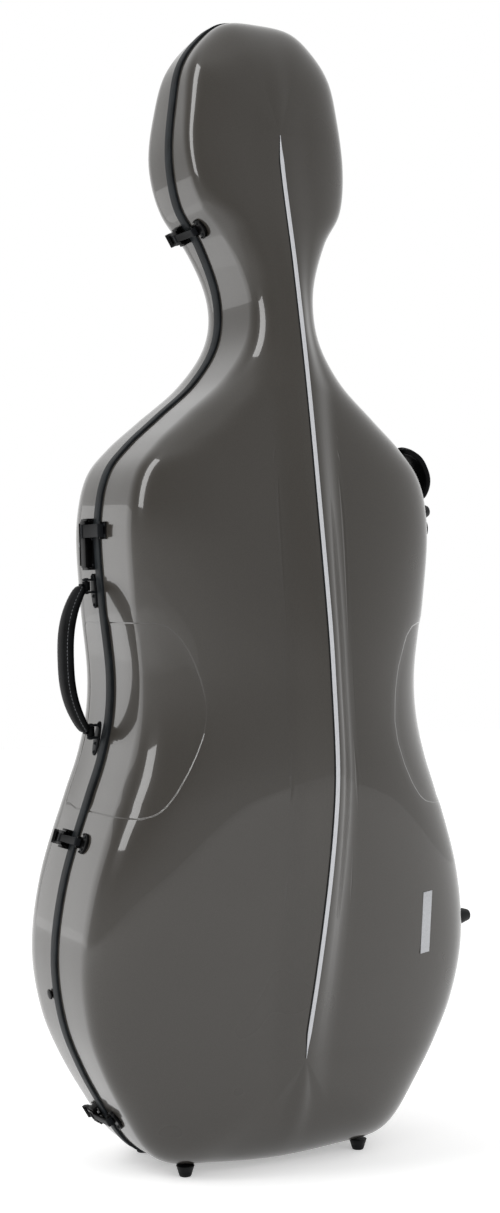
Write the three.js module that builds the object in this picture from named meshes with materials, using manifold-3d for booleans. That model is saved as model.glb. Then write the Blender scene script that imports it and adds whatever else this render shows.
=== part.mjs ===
// Hard case for a cello: two glossy moulded shells that meet in a planar seam, hinged on
// their right edge and held shut by three toggle latches and a lock on their left edge.
// Millimetres. +Z up, the lid faces -Y, the base with the player's back faces +Y.
import * as THREE from 'three'
import Module from 'manifold-3d'
import { mergeVertices } from 'three/addons/utils/BufferGeometryUtils.js'

const wasm = await Module()
wasm.setup()

// Case body
const caseLength = 1326.7
const lowerBoutWidth = 496
const waistWidth = 358.8
const upperBoutWidth = 389.2
const neckWidth = 81
const headWidth = 207.6
const lidDepth = 199.5
const baseDepth = 127
const keelHeight = 28
const keelHalfWidth = 42
const keelFadePower = 4
const backCornerWidth = 60
const shellWall = 3
const liningThickness = 4
const touchGap = 0.35
const floorClearance = 6
const lidRimGap = 0.5

// Rubber seal on the base's edge
const sealWidth = 15
const sealProud = 2.5
const sealLip = 2
const sealWeb = 2.4
const sealInnerWidth = 9

// Trim
const stripWidth = 5
const stripThickness = 1.4
const stripTaper = 150
const stripEndShare = 0.2
const badgeWidth = 15
const badgeLength = 74
const badgeThickness = 1.2
const badgeLeanDegrees = 2.5

// Feet
const footBaseRadius = 10.5
const footTipRadius = 7
const footTipFlatShare = 0.8
const footTipRoundShare = 0.1
const footSpread = 115
const footInset = 56
const sideFootDepth = 70
const baseSideFootDepth = 42
const upperSideFootHeight = 12
const lowerSideFootHeight = 17
const sideFootRadius = 11
const sideFootTipRadius = 6.2
const strapButtonRadius = 6
const strapButtonHeight = 4
const strapButtonDepth = 26

// Hinges
const pinRadius = 1.7
const pinGap = 0.3
const knuckleRadius = 4.2
const leafThickness = 2
const leafReach = 12
const upperHingeLength = 60
const lowerHingeLength = 72

// Toggle latches
const latchWidth = 22
const latchPlate = 2
const latchPlateDepth = 21
const latchPivotHeight = 6
const latchPivotDepth = 24
const latchPinRadius = 1.5
const latchEar = 2.5
const hookRise = 3
const hookSetback = 6
const hookHalfWidth = 4.2
const hookThickness = 2.2
const noseLength = 2.5
const leverReach = 25
const leverThickness = 3.2
const leverTipRise = 3
const keeperRadius = 12
const keeperReach = 18
const keeperFlatInset = 5
const keeperLipHeight = 4
const keeperLipSetback = 8

// Lock on the upper bout
const lockLength = 59
const lockPlateDepth = 35
const lockHookHalfWidth = 7.5
const lockLeverReach = 15
const lockKeeperReach = 17
const lockHookInset = 14.5
const cylinderRadius = 4.5
const cylinderHeight = 4
const keySlotHalfWidth = 0.75

// Carrying handles
const gripWidth = 33
const gripThickness = 12
const gripEndShare = 0.56
const gripLift = 6.2
const gripBowPower = 2.6
const gripSwellPower = 4
const gripRoundPower = 0.6
const handleDepth = 24
const handleLength = 170.4
const shoulderHandleLength = 51.7
const lockToHandle = 4
const handlePinHeight = 11
const handlePinRadius = 2
const eyeRadius = 4.6
const eyeLength = 11
const bracketLength = 40
const bracketWidth = 13
const bracketThickness = 2.5
const bracketLowerShare = 0.66
const sideGripBow = 22
const shoulderGripBow = 18
const shoulderHandleDepth = 44

// Fittings inside
const padThickness = 26
const padDepth = 26
const padInset = 12
const cradleWidth = 56
const cradleLength = 62
const cradleHeight = 34
const neckRadius = 20
const strapThickness = 2.5
const strapWidth = 30
const bowSpread = 62
const bowFrogSpread = 84
const pocketLength = 60
const pocketWidth = 26
const pocketDepth = 18
const pocketWall = 2.2
const clipPostRadius = 6
const clipPostHeight = 16
const clipLength = 44
const clipWidth = 13
const clipThickness = 4

// How finely the curved pieces are cut into facets
const outlineSteps = 84
const roundSides = 16
const gripSteps = 14
const gripSides = 8
const mergeDistance = 0.0035
const cutOverrun = 1
const spanMarginShare = 1.2

// Half outline of the seam from the bottom to the top: share of the length, share of the
// named width, and that width.
const outlineShares = [
  [0, 0, lowerBoutWidth],
  [0.0034, 0.323, lowerBoutWidth],
  [0.009, 0.558, lowerBoutWidth],
  [0.0211, 0.653, lowerBoutWidth],
  [0.0562, 0.779, lowerBoutWidth],
  [0.092, 0.884, lowerBoutWidth],
  [0.128, 0.959, lowerBoutWidth],
  [0.181, 1, lowerBoutWidth],
  [0.2454, 0.957, lowerBoutWidth],
  [0.318, 0.833, lowerBoutWidth],
  [0.3508, 1.067, waistWidth],
  [0.3852, 1.011, waistWidth],
  [0.422, 1, waistWidth],
  [0.4884, 1.056, waistWidth],
  [0.5578, 1, upperBoutWidth],
  [0.5981, 0.941, upperBoutWidth],
  [0.6216, 0.814, upperBoutWidth],
  [0.647, 0.621, upperBoutWidth],
  [0.6799, 0.371, upperBoutWidth],
  [0.7157, 1.074, neckWidth],
  [0.7538, 1.012, neckWidth],
  [0.8012, 0.625, headWidth],
  [0.8326, 0.891, headWidth],
  [0.8744, 1, headWidth],
  [0.9203, 0.963, headWidth],
  [0.958, 0.867, headWidth],
  [0.9821, 0.655, headWidth],
  [0.9968, 0.406, headWidth],
  [1, 0, headWidth]
]

// Cross-sections from the bottom to the top: share of the length, then the lid's upright
// wall as a share of its depth, the crown's roundness, the base's upright wall and its depth
// as shares of the base's depth, and the keel as a share of its height.
const sectionShares = [
  [0, 0.246, 2, 0.323, 0.819, 0],
  [0.009, 0.246, 2, 0.331, 0.827, 0],
  [0.186, 0.311, 2.4, 0.504, 1, 0.62],
  [0.414, 0.326, 1.95, 0.472, 0.953, 1],
  [0.567, 0.331, 2.45, 0.433, 0.913, 0.714],
  [0.647, 0.331, 2.2, 0.362, 0.835, 0.5],
  [0.742, 0.331, 2, 0.134, 0.449, 0.214],
  [0.883, 0.135, 2.6, 0.441, 0.772, 0.107],
  [1, 0.02, 2.2, 0.22, 0.598, 0]
]
const columns = { lidWall: 1, crown: 2, baseWall: 3, baseDepth: 4, keel: 5 }

// Height of the keel's crest above the seam, as shares of the length and the lid's depth.
const crestShares = [
  [0, 0.501],
  [0.109, 0.672],
  [0.164, 0.777],
  [0.216, 0.867],
  [0.268, 0.942],
  [0.318, 0.992],
  [0.354, 1],
  [0.418, 0.962],
  [0.467, 0.922],
  [0.568, 0.807],
  [0.671, 0.682],
  [0.776, 0.531],
  [0.884, 0.361],
  [1, 0.301]
]
const crestLowShare = 0.098
const crestHighShare = 0.893

// Where a surface row lies between the edge at 1 and the middle at 0.
const lidRowShares = [1, 0.98, 0.92, 0.78, 0.55, 0.3, 0.12, 0]
const baseCornerShares = [0, 0.33, 0.67, 1]
const baseFlatShares = [0.5, 0]
const neckCornerShare = 0.55
const backCrownShare = 0.03

// Heights of the fittings as shares of the length
const upperLatchShare = 0.8131
const middleLatchShare = 0.2815
const lowerLatchShare = 0.0439
const lockShare = 0.5366
const shoulderBottomShare = 0.576
const upperSideFootShare = 0.5678
const lowerSideFootShare = 0.1985
const strapButtonShare = 0.1501
const upperHingeShare = 0.5766
const lowerHingeShare = 0.2148
const badgeShare = 0.2055
const badgeOffsetShare = 0.3205
const lowerPadShares = [0.035, 0.16]
const upperPadShares = [0.52, 0.6]
const endPadShare = 0.29
const cradleShare = 0.735
const pocketShare = 0.62
const clipShare = 0.155

const round = (radius, length) => new THREE.CylinderGeometry(radius, radius, length, roundSides)

// A smooth value from a table whose first column is the share of the length.
function tableValue(table, column, share) {
  const last = table.length - 1
  let i = 0
  while (i < last - 1 && share > table[i + 1][0]) i += 1
  const slope = (a, b) => (table[b][column] - table[a][column]) / (table[b][0] - table[a][0])
  const span = table[i + 1][0] - table[i][0]
  const t = Math.min(Math.max((share - table[i][0]) / span, 0), 1)
  const startSlope = slope(Math.max(i - 1, 0), i + 1) * span
  const endSlope = slope(i, Math.min(i + 2, last)) * span
  const start = table[i][column] * (1 + 2 * t) * (1 - t) ** 2
  const end = table[i + 1][column] * t * t * (3 - 2 * t)
  return start + end + startSlope * t * (1 - t) ** 2 + endSlope * t * t * (t - 1)
}

// The seam's closed outline, in the XZ plane with its lowest point at zero.
const halfOutline = outlineShares.map(([heightShare, widthShare, width]) =>
  new THREE.Vector3(width / 2 * widthShare, 0, caseLength * heightShare))
const mirrored = halfOutline.slice(1, -1).reverse().map((p) => new THREE.Vector3(-p.x, 0, p.z))
const outlineCurve = new THREE.CatmullRomCurve3([...halfOutline, ...mirrored], true, 'centripetal')
const outline = []
for (let i = 0; i < outlineSteps; i += 1) {
  outline.push(outlineCurve.getPoint(i / outlineSteps))
}
const outlineNormals = outline.map((p, i) => {
  const before = outline[(i + outlineSteps - 1) % outlineSteps]
  const after = outline[(i + 1) % outlineSteps]
  return new THREE.Vector3(after.z - before.z, 0, before.x - after.x).normalize()
})

const crestLow = caseLength * crestLowShare
const crestHigh = caseLength * crestHighShare
const middleOf = (p) => new THREE.Vector3(0, 0, Math.min(Math.max(p.z, crestLow), crestHigh))

// Depth of the lid's outer surface below the seam at a point of the grid.
function lidDepthAt(edge, middle, rowShare) {
  const point = middle.clone().lerp(edge, rowShare)
  const wall = lidDepth * tableValue(sectionShares, columns.lidWall, edge.z / caseLength)
  const power = tableValue(sectionShares, columns.crown, edge.z / caseLength)
  const crest = lidDepth * tableValue(crestShares, 1, middle.z / caseLength)
  const middleKeel = keelHeight * tableValue(sectionShares, columns.keel, middle.z / caseLength)
  const keel = keelHeight * tableValue(sectionShares, columns.keel, point.z / caseLength)
  const reach = Math.min(keelHalfWidth, Math.max(edge.x, -edge.x, neckWidth / 2) / 2)
  const swell = (1 + Math.cos(Math.PI * Math.min(Math.abs(point.x) / reach, 1))) / 2
  const dome = (1 - rowShare ** power) ** (1 / power)
  return wall + (crest - middleKeel - wall) * dome + keel * swell * (1 - rowShare ** keelFadePower)
}

// The lid's outer rows at one outline point, from the seam to the crest.
function lidRows(edge, rimDepth) {
  const middle = middleOf(edge)
  const rows = [new THREE.Vector3(edge.x, -rimDepth, edge.z)]
  for (const rowShare of lidRowShares) {
    const point = middle.clone().lerp(edge, rowShare)
    point.y = -lidDepthAt(edge, middle, rowShare)
    rows.push(point)
  }
  return rows
}

// The base's outer rows at one outline point, from the seam to the back's middle.
function baseRows(edge, rimDepth) {
  const middle = middleOf(edge)
  const share = edge.z / caseLength
  const wall = baseDepth * tableValue(sectionShares, columns.baseWall, share)
  const back = baseDepth * tableValue(sectionShares, columns.baseDepth, share)
  const middleShare = middle.z / caseLength
  const middleBack = baseDepth * tableValue(sectionShares, columns.baseDepth, middleShare)
  const reach = middle.distanceTo(edge)
  const corner = Math.min(backCornerWidth, neckCornerShare * reach)
  const rows = [new THREE.Vector3(edge.x, rimDepth, edge.z)]
  for (const cornerShare of baseCornerShares) {
    const turn = cornerShare * Math.PI / 2
    const point = edge.clone().lerp(middle, corner * (1 - Math.cos(turn)) / reach)
    point.y = wall + (back - wall) * Math.sin(turn)
    rows.push(point)
  }
  for (const flatShare of baseFlatShares) {
    const fromMiddle = flatShare * (1 - corner / reach)
    const point = middle.clone().lerp(edge, fromMiddle)
    const blend = fromMiddle * fromMiddle
    const crown = backCrownShare * baseDepth * (1 - flatShare * flatShare)
    point.y = middleBack + (back - middleBack) * blend + crown
    rows.push(point)
  }
  return rows
}

// A closed thin shell between two depths below an outer surface, open at the seam.
function shellGeometry(rowsAt, rimDepth, outerOffset, innerOffset) {
  const grid = outline.map((edge) => rowsAt(edge, rimDepth))
  const lastRow = grid[0].length - 1
  const forLid = grid[0][lastRow].y < 0
  const surface = []
  const crests = []
  const index = grid.map((rows) => rows.map((point, row) => {
    if (row === lastRow) {
      const known = crests.find((k) => Math.abs(surface[k].z - point.z) < touchGap)
      if (known !== undefined) return known
      crests.push(surface.length)
    }
    surface.push(point)
    return surface.length - 1
  }))
  const turned = ([a, b, c]) => [c, b, a]
  const faces = []
  for (let i = 0; i < outlineSteps; i += 1) {
    const a = index[i]
    const b = index[(i + 1) % outlineSteps]
    for (let row = 0; row < lastRow; row += 1) {
      faces.push([a[row], b[row], b[row + 1]], [a[row], b[row + 1], a[row + 1]])
    }
  }
  const whole = faces.filter((face) => new Set(face).size === face.length)
  const outer = forLid ? whole : whole.map(turned)
  const normals = surface.map(() => new THREE.Vector3())
  for (const [a, b, c] of outer) {
    const side = surface[b].clone().sub(surface[a])
    const facing = side.cross(surface[c].clone().sub(surface[a])).normalize()
    for (const corner of [a, b, c]) normals[corner].add(facing)
  }
  for (const k of crests) normals[k].x = 0
  index.forEach((row, i) => {
    normals[row[0]].copy(outlineNormals[i])
    normals[row[1]].copy(outlineNormals[i])
  })
  for (const normal of normals) normal.normalize()
  const moved = (k, offset) => surface[k].clone().addScaledVector(normals[k], -offset)
  const sunk = (offset) => surface.map((point, k) => moved(k, offset))
  const count = surface.length
  const inner = outer.map(turned).map((face) => face.map((corner) => corner + count))
  const rim = []
  for (let i = 0; i < outlineSteps; i += 1) {
    const a = index[i][0]
    const b = index[(i + 1) % outlineSteps][0]
    rim.push([b, a, a + count], [b, a + count, b + count])
  }
  const triangles = [...outer, ...inner, ...(forLid ? rim : rim.map(turned))].flat()
  return geometryFrom([...sunk(outerOffset), ...sunk(innerOffset)], triangles)
}

function geometryFrom(points, triangles) {
  const geometry = new THREE.BufferGeometry()
  const values = points.flatMap((p) => [...p])
  geometry.setAttribute('position', new THREE.Float32BufferAttribute(values, 3))
  geometry.setIndex(triangles)
  return geometry
}

// A ring of constant profile round the seam; the profile gives outward offset and depth.
function seamRing(profile) {
  const points = []
  outline.forEach((edge, i) => {
    for (const [offset, depth] of profile) {
      const point = edge.clone().addScaledVector(outlineNormals[i], offset)
      point.y = depth
      points.push(point)
    }
  })
  const triangles = []
  const sides = profile.length
  for (let i = 0; i < outlineSteps; i += 1) {
    const next = (i + 1) % outlineSteps * sides
    for (let k = 0; k < sides; k += 1) {
      const a = i * sides + k
      const b = i * sides + (k + 1) % sides
      const c = next + (k + 1) % sides
      const d = next + k
      triangles.push(a, b, c, a, c, d)
    }
  }
  return geometryFrom(points, triangles)
}

// A closed tube through a row of equal sections, each a list of points.
function loft(sections) {
  const sides = sections[0].length
  const points = sections.flat()
  const triangles = []
  for (let i = 0; i < sections.length - 1; i += 1) {
    for (let k = 0; k < sides; k += 1) {
      const a = i * sides + k
      const b = i * sides + (k + 1) % sides
      triangles.push(a, b, b + sides, a, b + sides, a + sides)
    }
  }
  const last = points.length - sides
  for (let k = 1; k < sides - 1; k += 1) {
    triangles.push(0, k + 1, k, last, last + k, last + k + 1)
  }
  return geometryFrom(points, triangles)
}

function asSolid(geometry) {
  const plain = geometry.clone()
  plain.deleteAttribute('normal')
  plain.deleteAttribute('uv')
  const merged = mergeVertices(plain, mergeDistance)
  const vertProperties = new Float32Array(merged.attributes.position.array)
  const triVerts = new Uint32Array(merged.index.array)
  return new wasm.Manifold(new wasm.Mesh({ numProp: 3, vertProperties, triVerts }))
}

function asGeometry(solid) {
  const mesh = solid.getMesh()
  const geometry = new THREE.BufferGeometry()
  const values = new Float32Array(mesh.vertProperties)
  geometry.setAttribute('position', new THREE.BufferAttribute(values, 3))
  geometry.setIndex(new THREE.BufferAttribute(new Uint32Array(mesh.triVerts), 1))
  return geometry
}

const join = (...pieces) => asGeometry(pieces.map(asSolid).reduce((a, b) => a.add(b)))
function cut(piece, ...tools) {
  return asGeometry(tools.map(asSolid).reduce((a, b) => a.subtract(b), asSolid(piece)))
}

// A block from its lowest to its highest corner.
function block(low, high) {
  const size = high.map((value, k) => value - low[k])
  const geometry = new THREE.BoxGeometry(...size)
  return geometry.translate(...low.map((value, k) => value + size[k] / 2))
}

// A plate cut to an outline in X and Y, standing from one height to another along Z.
function prism(corners, low, high) {
  const shape = new THREE.Shape(corners.map(([x, y]) => new THREE.Vector2(x, y)))
  const geometry = new THREE.ExtrudeGeometry(shape, { depth: high - low, bevelEnabled: false })
  return geometry.translate(0, 0, low)
}

// A round bar along Z.
function bar(radius, x, y, low, high) {
  const geometry = round(radius, high - low).rotateX(Math.PI / 2)
  return geometry.translate(x, y, (low + high) / 2)
}

// A round bar along X, from one distance off the wall to another.
function stud(radius, low, high, y, z) {
  return round(radius, high - low).rotateZ(Math.PI / 2).translate((low + high) / 2, y, z)
}

const group = new THREE.Group()
const finishes = {
  shell: { color: 0x4a4845, roughness: 0.18, metalness: 0 },
  rubber: { color: 0x222527, roughness: 0.6, metalness: 0 },
  lining: { color: 0x2b2b2d, roughness: 0.95, metalness: 0 },
  metal: { color: 0xb9bbbd, roughness: 0.3, metalness: 1 },
  blackMetal: { color: 0x17181a, roughness: 0.35, metalness: 0.6 },
  plastic: { color: 0x131314, roughness: 0.3, metalness: 0 },
  leather: { color: 0x1c1d1e, roughness: 0.55, metalness: 0 },
  padding: { color: 0x3a3a3d, roughness: 0.95, metalness: 0 }
}

function addPiece(name, geometry, finish, parent = group) {
  const mesh = new THREE.Mesh(geometry, new THREE.MeshStandardMaterial(finishes[finish]))
  mesh.name = name
  parent.add(mesh)
  return mesh
}

// Shells, linings and the seal between them
const sealInside = shellWall + touchGap
const baseRim = sealWeb + touchGap
const lidShell = addPiece('lid_shell', shellGeometry(lidRows, lidRimGap, 0, shellWall), 'shell')
const baseShell = addPiece('base_shell', shellGeometry(baseRows, baseRim, 0, shellWall), 'shell')
const liningOuter = shellWall + touchGap
const liningInner = liningOuter + liningThickness
const baseLiningRim = sealInnerWidth + touchGap
const lidLiningGeometry = shellGeometry(lidRows, liningThickness, liningOuter, liningInner)
const baseLiningGeometry = shellGeometry(baseRows, baseLiningRim, liningOuter, liningInner)
const lidLining = addPiece('lid_lining', lidLiningGeometry, 'lining')
const baseLining = addPiece('base_lining', baseLiningGeometry, 'lining')
addPiece('rim_seal', seamRing([
  [sealProud, 0],
  [sealProud, sealWidth],
  [touchGap, sealWidth],
  [touchGap, sealWeb],
  [-sealInside, sealWeb],
  [-sealInside, sealInnerWidth],
  [-sealInside - sealLip, sealInnerWidth],
  [-sealInside - sealLip, 0]
]), 'rubber')

// The bright strip along the keel, pointed at both ends
function stripGeometry() {
  const heights = [crestLow]
  for (const edge of outline.slice(0, outlineSteps / 2)) {
    if (edge.z > crestLow && edge.z < crestHigh) heights.push(edge.z)
  }
  heights.push(crestHigh)
  const sections = heights.map((height) => {
    const crest = lidDepth * tableValue(crestShares, 1, height / caseLength)
    const fromEnd = Math.min(height - crestLow, crestHigh - height)
    const halfWidth = stripWidth / 2 * Math.max(Math.min(fromEnd / stripTaper, 1), stripEndShare)
    const low = -crest - touchGap
    const high = low - stripThickness
    return [
      new THREE.Vector3(-halfWidth, low, height),
      new THREE.Vector3(halfWidth, low, height),
      new THREE.Vector3(halfWidth / 2, high, height),
      new THREE.Vector3(-halfWidth / 2, high, height)
    ]
  })
  return loft(sections.map((section) => section.reverse()))
}
addPiece('keel_strip', stripGeometry(), 'metal')

// Where a straight line meets a piece that is already built
const ray = new THREE.Raycaster()
function meet(piece, from, direction) {
  piece.material.side = THREE.DoubleSide
  ray.set(from, direction)
  const hits = ray.intersectObject(piece)
  return hits[0].point
}

// A frame seated on a surface under a small plate: its origin, and axes across, along and off it
function seat(piece, centre, direction, across, halfWidth, along, halfLength) {
  const start = centre.clone().addScaledVector(direction, -lidDepth * 2)
  const at = (u, v) => {
    const from = start.clone().addScaledVector(across, u).addScaledVector(along, v)
    return meet(piece, from, direction)
  }
  const xAxis = at(halfWidth, 0).sub(at(-halfWidth, 0)).normalize()
  const zAxis = at(0, halfLength).sub(at(0, -halfLength)).normalize()
  const off = new THREE.Vector3().crossVectors(xAxis, zAxis).normalize()
  if (off.dot(direction) > 0) off.negate()
  const origin = at(0, 0)
  let lift = 0
  for (const u of [-halfWidth, 0, halfWidth]) {
    for (const v of [-halfLength, -halfLength / 2, 0, halfLength / 2, halfLength]) {
      lift = Math.max(lift, at(u, v).sub(origin).dot(off))
    }
  }
  origin.addScaledVector(off, lift + touchGap)
  const side = new THREE.Vector3().crossVectors(zAxis, off).normalize()
  const matrix = new THREE.Matrix4().makeBasis(side, zAxis, off).setPosition(origin)
  return matrix
}

const xUnit = new THREE.Vector3(1, 0, 0)
const zUnit = new THREE.Vector3(0, 0, 1)
const yUnit = new THREE.Vector3(0, 1, 0)

// Bare badge plate low on the lid's right side
const badgeCentre = new THREE.Vector3(lowerBoutWidth * badgeOffsetShare, 0, caseLength * badgeShare)
const badgeSeat = seat(lidShell, badgeCentre, yUnit, xUnit, badgeWidth / 2, zUnit, badgeLength / 2)
const badge = block(
  [-badgeWidth / 2, -badgeLength / 2, 0],
  [badgeWidth / 2, badgeLength / 2, badgeThickness]
)
badge.rotateZ(THREE.MathUtils.degToRad(badgeLeanDegrees))
addPiece('badge_plate', badge.applyMatrix4(badgeSeat), 'metal')

// Four rubber feet under the bottom
function footGeometry(height, baseRadius, tipRadius) {
  const profile = [
    [0, 0],
    [tipRadius * footTipFlatShare, 0],
    [tipRadius, height * footTipRoundShare],
    [baseRadius, height],
    [0, height]
  ]
  const points = profile.map(([radius, rise]) => new THREE.Vector2(radius, rise))
  return new THREE.LatheGeometry(points, roundSides).rotateX(Math.PI / 2)
}
for (const [half, piece, sign] of [['lid', lidShell, -1], ['base', baseShell, 1]]) {
  for (const [side, direction] of [['left', -1], ['right', 1]]) {
    const x = direction * footSpread
    const y = sign * footInset
    const heights = []
    for (let k = 0; k < roundSides; k += 1) {
      const turn = k / roundSides * Math.PI * 2
      const below = new THREE.Vector3(x, y, -caseLength)
      below.x += footBaseRadius * Math.cos(turn)
      below.y += footBaseRadius * Math.sin(turn)
      heights.push(meet(piece, below, zUnit).z)
    }
    const top = Math.min(...heights) - touchGap
    const foot = footGeometry(top + floorClearance, footBaseRadius, footTipRadius)
    addPiece(`bottom_foot_${half}_${side}`, foot.translate(x, y, -floorClearance), 'rubber')
  }
}

// A point of the seam's outline at one height
const outlineSide = (side) => outline.filter((p) => p.x * side >= 0).sort((a, b) => a.z - b.z)
function wallPoint(onSide, height) {
  let i = 0
  while (i < onSide.length - 2 && onSide[i + 1].z < height) i += 1
  const share = (height - onSide[i].z) / (onSide[i + 1].z - onSide[i].z)
  return onSide[i].clone().lerp(onSide[i + 1], share)
}

// A frame on the seam's outline: X points off the wall, Y is depth and Z runs along the wall
function wallFrame(height, halfSpan, side) {
  const onSide = outlineSide(side)
  const low = wallPoint(onSide, height - halfSpan)
  const high = wallPoint(onSide, height + halfSpan)
  const along = high.clone().sub(low).normalize()
  const off = new THREE.Vector3(along.z * side, 0, -along.x * side)
  const origin = low.clone().lerp(high, 0.5)
  let lift = 0
  for (const p of onSide) {
    const from = p.clone().sub(origin)
    if (Math.abs(from.dot(along)) <= halfSpan * spanMarginShare) lift = Math.max(lift, from.dot(off))
  }
  origin.addScaledVector(off, Math.max(lift, 0))
  const frame = new THREE.Group()
  frame.position.copy(origin)
  frame.rotation.y = Math.atan2(-off.z, off.x)
  group.add(frame)
  return frame
}

// Rubber side feet on the right, which carry the case when it lies on its long side
for (const [place, share, height] of [
  ['upper', upperSideFootShare, upperSideFootHeight],
  ['lower', lowerSideFootShare, lowerSideFootHeight]
]) {
  const frame = wallFrame(caseLength * share, sideFootRadius, 1)
  for (const [half, depth] of [['lid', -sideFootDepth], ['base', baseSideFootDepth]]) {
    const foot = footGeometry(height, sideFootTipRadius, sideFootRadius)
    foot.rotateY(-Math.PI / 2).translate(touchGap + height, depth, 0)
    addPiece(`side_foot_${half}_${place}`, foot, 'rubber', frame)
  }
}

// Button for a carrying strap, low on the base's left wall
const buttonFrame = wallFrame(caseLength * strapButtonShare, strapButtonRadius, -1)
const buttonTop = touchGap + strapButtonHeight
const button = stud(strapButtonRadius, touchGap, buttonTop, strapButtonDepth, 0)
addPiece('strap_button', button, 'plastic', buttonFrame)

// The hinge line touches both bouts on the right and clears the wall along both hinges
const hingeSpans = [[upperHingeShare, upperHingeLength], [lowerHingeShare, lowerHingeLength]]
const touches = hingeSpans.map(([share, length]) => {
  return wallFrame(caseLength * share, length / 2, 1).position
})
const hingeAlong = touches[0].clone().sub(touches[1]).normalize()
const hingeOff = new THREE.Vector3(hingeAlong.z, 0, -hingeAlong.x)
const hingeTurn = Math.atan2(-hingeOff.z, hingeOff.x)
const axisHeight = sealProud + touchGap + knuckleRadius
let hingeLift = 0
hingeSpans.forEach(([share, length], k) => {
  const reach = length / 2 * spanMarginShare
  for (let step = -roundSides; step <= roundSides; step += 1) {
    const onWall = wallPoint(outlineSide(1), touches[k].z + step / roundSides * reach)
    hingeLift = Math.max(hingeLift, onWall.sub(touches[k]).dot(hingeOff))
  }
})

function addHinge(name, touch, length) {
  const frame = new THREE.Group()
  frame.position.copy(touch).addScaledVector(hingeOff, hingeLift)
  frame.rotation.y = hingeTurn
  group.add(frame)
  const half = length / 2
  const third = length / 6
  const overSeal = sealProud + touchGap
  const leafTop = overSeal + leafThickness
  const stepDepth = sealWidth + touchGap
  const clearOfKnuckle = knuckleRadius + touchGap * 2
  const knuckle = (low, high) => bar(knuckleRadius, axisHeight, 0, low, high)
  const bore = bar(pinRadius + pinGap, axisHeight, 0, -half - cutOverrun, half + cutOverrun)
  const baseProfile = (nearest) => [
    [overSeal, nearest],
    [leafTop, nearest],
    [leafTop, stepDepth + leafThickness],
    [touchGap + leafThickness, stepDepth + leafThickness],
    [touchGap + leafThickness, stepDepth + leafReach],
    [touchGap, stepDepth + leafReach],
    [touchGap, stepDepth],
    [overSeal, stepDepth]
  ]
  const lidProfile = (nearest) => [
    [touchGap, -nearest - lidRimGap],
    [touchGap, -leafReach - nearest],
    [touchGap + leafThickness, -leafReach - nearest],
    [touchGap + leafThickness, -nearest - leafThickness],
    [leafTop, -nearest],
    [overSeal, -nearest]
  ].reverse()
  const baseLeaf = join(
    prism(baseProfile(clearOfKnuckle), -half, half),
    prism(baseProfile(0), -half, -third - touchGap),
    prism(baseProfile(0), third + touchGap, half),
    knuckle(-half, -third - touchGap),
    knuckle(third + touchGap, half)
  )
  addPiece(`${name}_hinge_base_leaf`, cut(baseLeaf, bore), 'blackMetal', frame)
  const lidLeaf = join(
    prism(lidProfile(clearOfKnuckle), -half, half),
    prism(lidProfile(lidRimGap), -third, third),
    knuckle(-third, third)
  )
  addPiece(`${name}_hinge_lid_leaf`, cut(lidLeaf, bore), 'blackMetal', frame)
  const head = bar(knuckleRadius, axisHeight, 0, half + touchGap, half + touchGap + leafThickness)
  const pin = bar(pinRadius, axisHeight, 0, -half, half + touchGap + leafThickness)
  addPiece(`${name}_hinge_pin`, join(pin, head), 'metal', frame)
}
addHinge('upper', touches[0], upperHingeLength)
addHinge('lower', touches[1], lowerHingeLength)

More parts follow.
